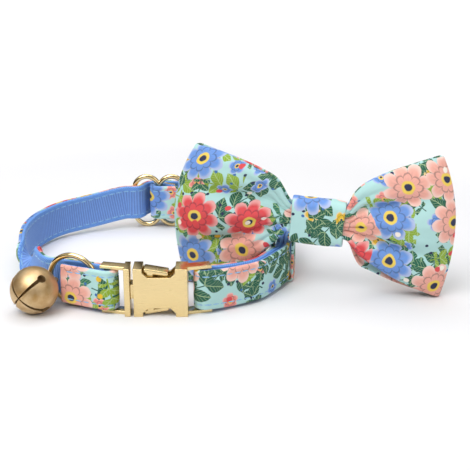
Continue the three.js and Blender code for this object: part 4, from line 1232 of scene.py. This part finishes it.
class BuildStage(bpy.types.Operator):
    """Sets the white floor, with its painted glow, the soft lights and the camera."""

    bl_idname = "collar.stage"
    bl_label = "Stage"

    def execute(self, context):
        scene = context.scene
        paper, tree = material_tree("matt_white_paper_painted_glow")
        where = add(tree, "ShaderNodeTexCoord").outputs["Object"]
        # The floor's colour is painted greyer near the collar and lighter away from it, where the floor
        # also glows: painted shade and painted light, as in a light tent
        away = add(tree, "ShaderNodeVectorMath", [where], operation="LENGTH").outputs["Value"]
        painted_glow_share = calculate(tree, away, ("FADE", 0.42, 0.14))
        surface = add(tree, "ShaderNodeBsdfPrincipled", {
            "Base Color": layered(tree, linear(0xE7E7E9), (linear(0xFCFCFC), painted_glow_share)),
            # Painted light: the floor glows away from the collar
            "Emission Color": linear(0xFFFFFF),
            "Emission Strength": calculate(tree, painted_glow_share, ("MULTIPLY", 0.6)),
            "Roughness": 0.9, "Specular IOR Level": 0.1})
        add(tree, "ShaderNodeOutputMaterial", [surface])
        floor = bpy.data.meshes.new("floor")
        floor.from_pydata([(x * FLOOR_REACH, y * FLOOR_REACH, 0)
                           for x, y in ((-1, -1), (1, -1), (1, 1), (-1, 1))], [], [(0, 1, 2, 3)])
        new_object("floor", floor, paper)
        world = bpy.data.worlds.new("studio")
        world.use_nodes = True
        sky = world.node_tree
        above = add(sky, "ShaderNodeSeparateXYZ", [add(sky, "ShaderNodeTexCoord").outputs["Generated"]])
        # The room is darker round the horizon, which gives the metal something to mirror
        tone = add(sky, "ShaderNodeValToRGB", [above.outputs[2]])
        for element, position, code in zip(tone.color_ramp.elements, (0.26, 0.55), (0x4B423C, 0xFFFFFF)):
            element.position = position
            element.color = linear(code)
        background = sky.nodes["Background"]
        sky.links.new(tone.outputs[0], background.inputs["Color"])
        background.inputs["Strength"].default_value = 0.50
        scene.world = world
        for name, place, size, power in LIGHTS:
            data = bpy.data.lights.new(name, "AREA")
            data.size = size
            data.energy = power
            lamp = bpy.data.objects.new(name, data)
            lamp.location = place
            lamp.rotation_euler = (LIT_PLACE - Vector(place)).to_track_quat("-Z", "Y").to_euler()
            scene.collection.objects.link(lamp)
        lens = bpy.data.cameras.new("camera")
        lens.sensor_width = 36.0
        lens.lens = lens.sensor_width * PHOTO_FOCAL / PHOTO_WIDTH
        lens.clip_start = 0.01
        camera = bpy.data.objects.new("camera", lens)
        camera.location = CAMERA_PLACE
        camera.rotation_euler = (math.radians(90 - CAMERA_DOWN), 0, 0)
        scene.collection.objects.link(camera)
        scene.camera = camera
        scene.view_settings.view_transform = "Standard"
        return {"FINISHED"}


class CollarPanel(bpy.types.Panel):
    """Lists the collar's sizes, colours and operators in the sidebar."""

    bl_idname = "VIEW3D_PT_collar"
    bl_label = "Pet bow tie collar"
    bl_space_type = "VIEW_3D"
    bl_region_type = "UI"
    bl_category = "Collar"

    def draw(self, context):
        for group in SETTINGS:
            box = self.layout.box()
            for name in getattr(context.scene, group).bl_rna.properties.keys():
                if name not in ("name", "rna_type"):
                    box.prop(getattr(context.scene, group), name)
        for operator in OPERATORS:
            self.layout.operator(operator.bl_idname)


SETTINGS = {"cloth_colours": ClothColours, "metal_colours": MetalColours, "strap_sizes": StrapSizes,
            "bow_sizes": BowSizes, "metal_sizes": MetalSizes}
OPERATORS = (BuildStrap, BuildStitches, BuildBuckle, BuildWires, BuildBell, BuildBow, BuildStage)


def register():
    for kind in (*SETTINGS.values(), *OPERATORS, CollarPanel):
        bpy.utils.register_class(kind)
    for name, kind in SETTINGS.items():
        setattr(bpy.types.Scene, name, PointerProperty(type=kind))


def unregister():
    for name in SETTINGS:
        delattr(bpy.types.Scene, name)
    for kind in reversed((*SETTINGS.values(), *OPERATORS, CollarPanel)):
        bpy.utils.unregister_class(kind)


def main():
    register()
    bpy.ops.collar.strap()
    bpy.ops.collar.stitches()
    bpy.ops.collar.buckle()
    bpy.ops.collar.wires()
    bpy.ops.collar.bell()
    bpy.ops.collar.bow()
    bpy.ops.collar.stage()


if __name__ == "__main__":
    main()
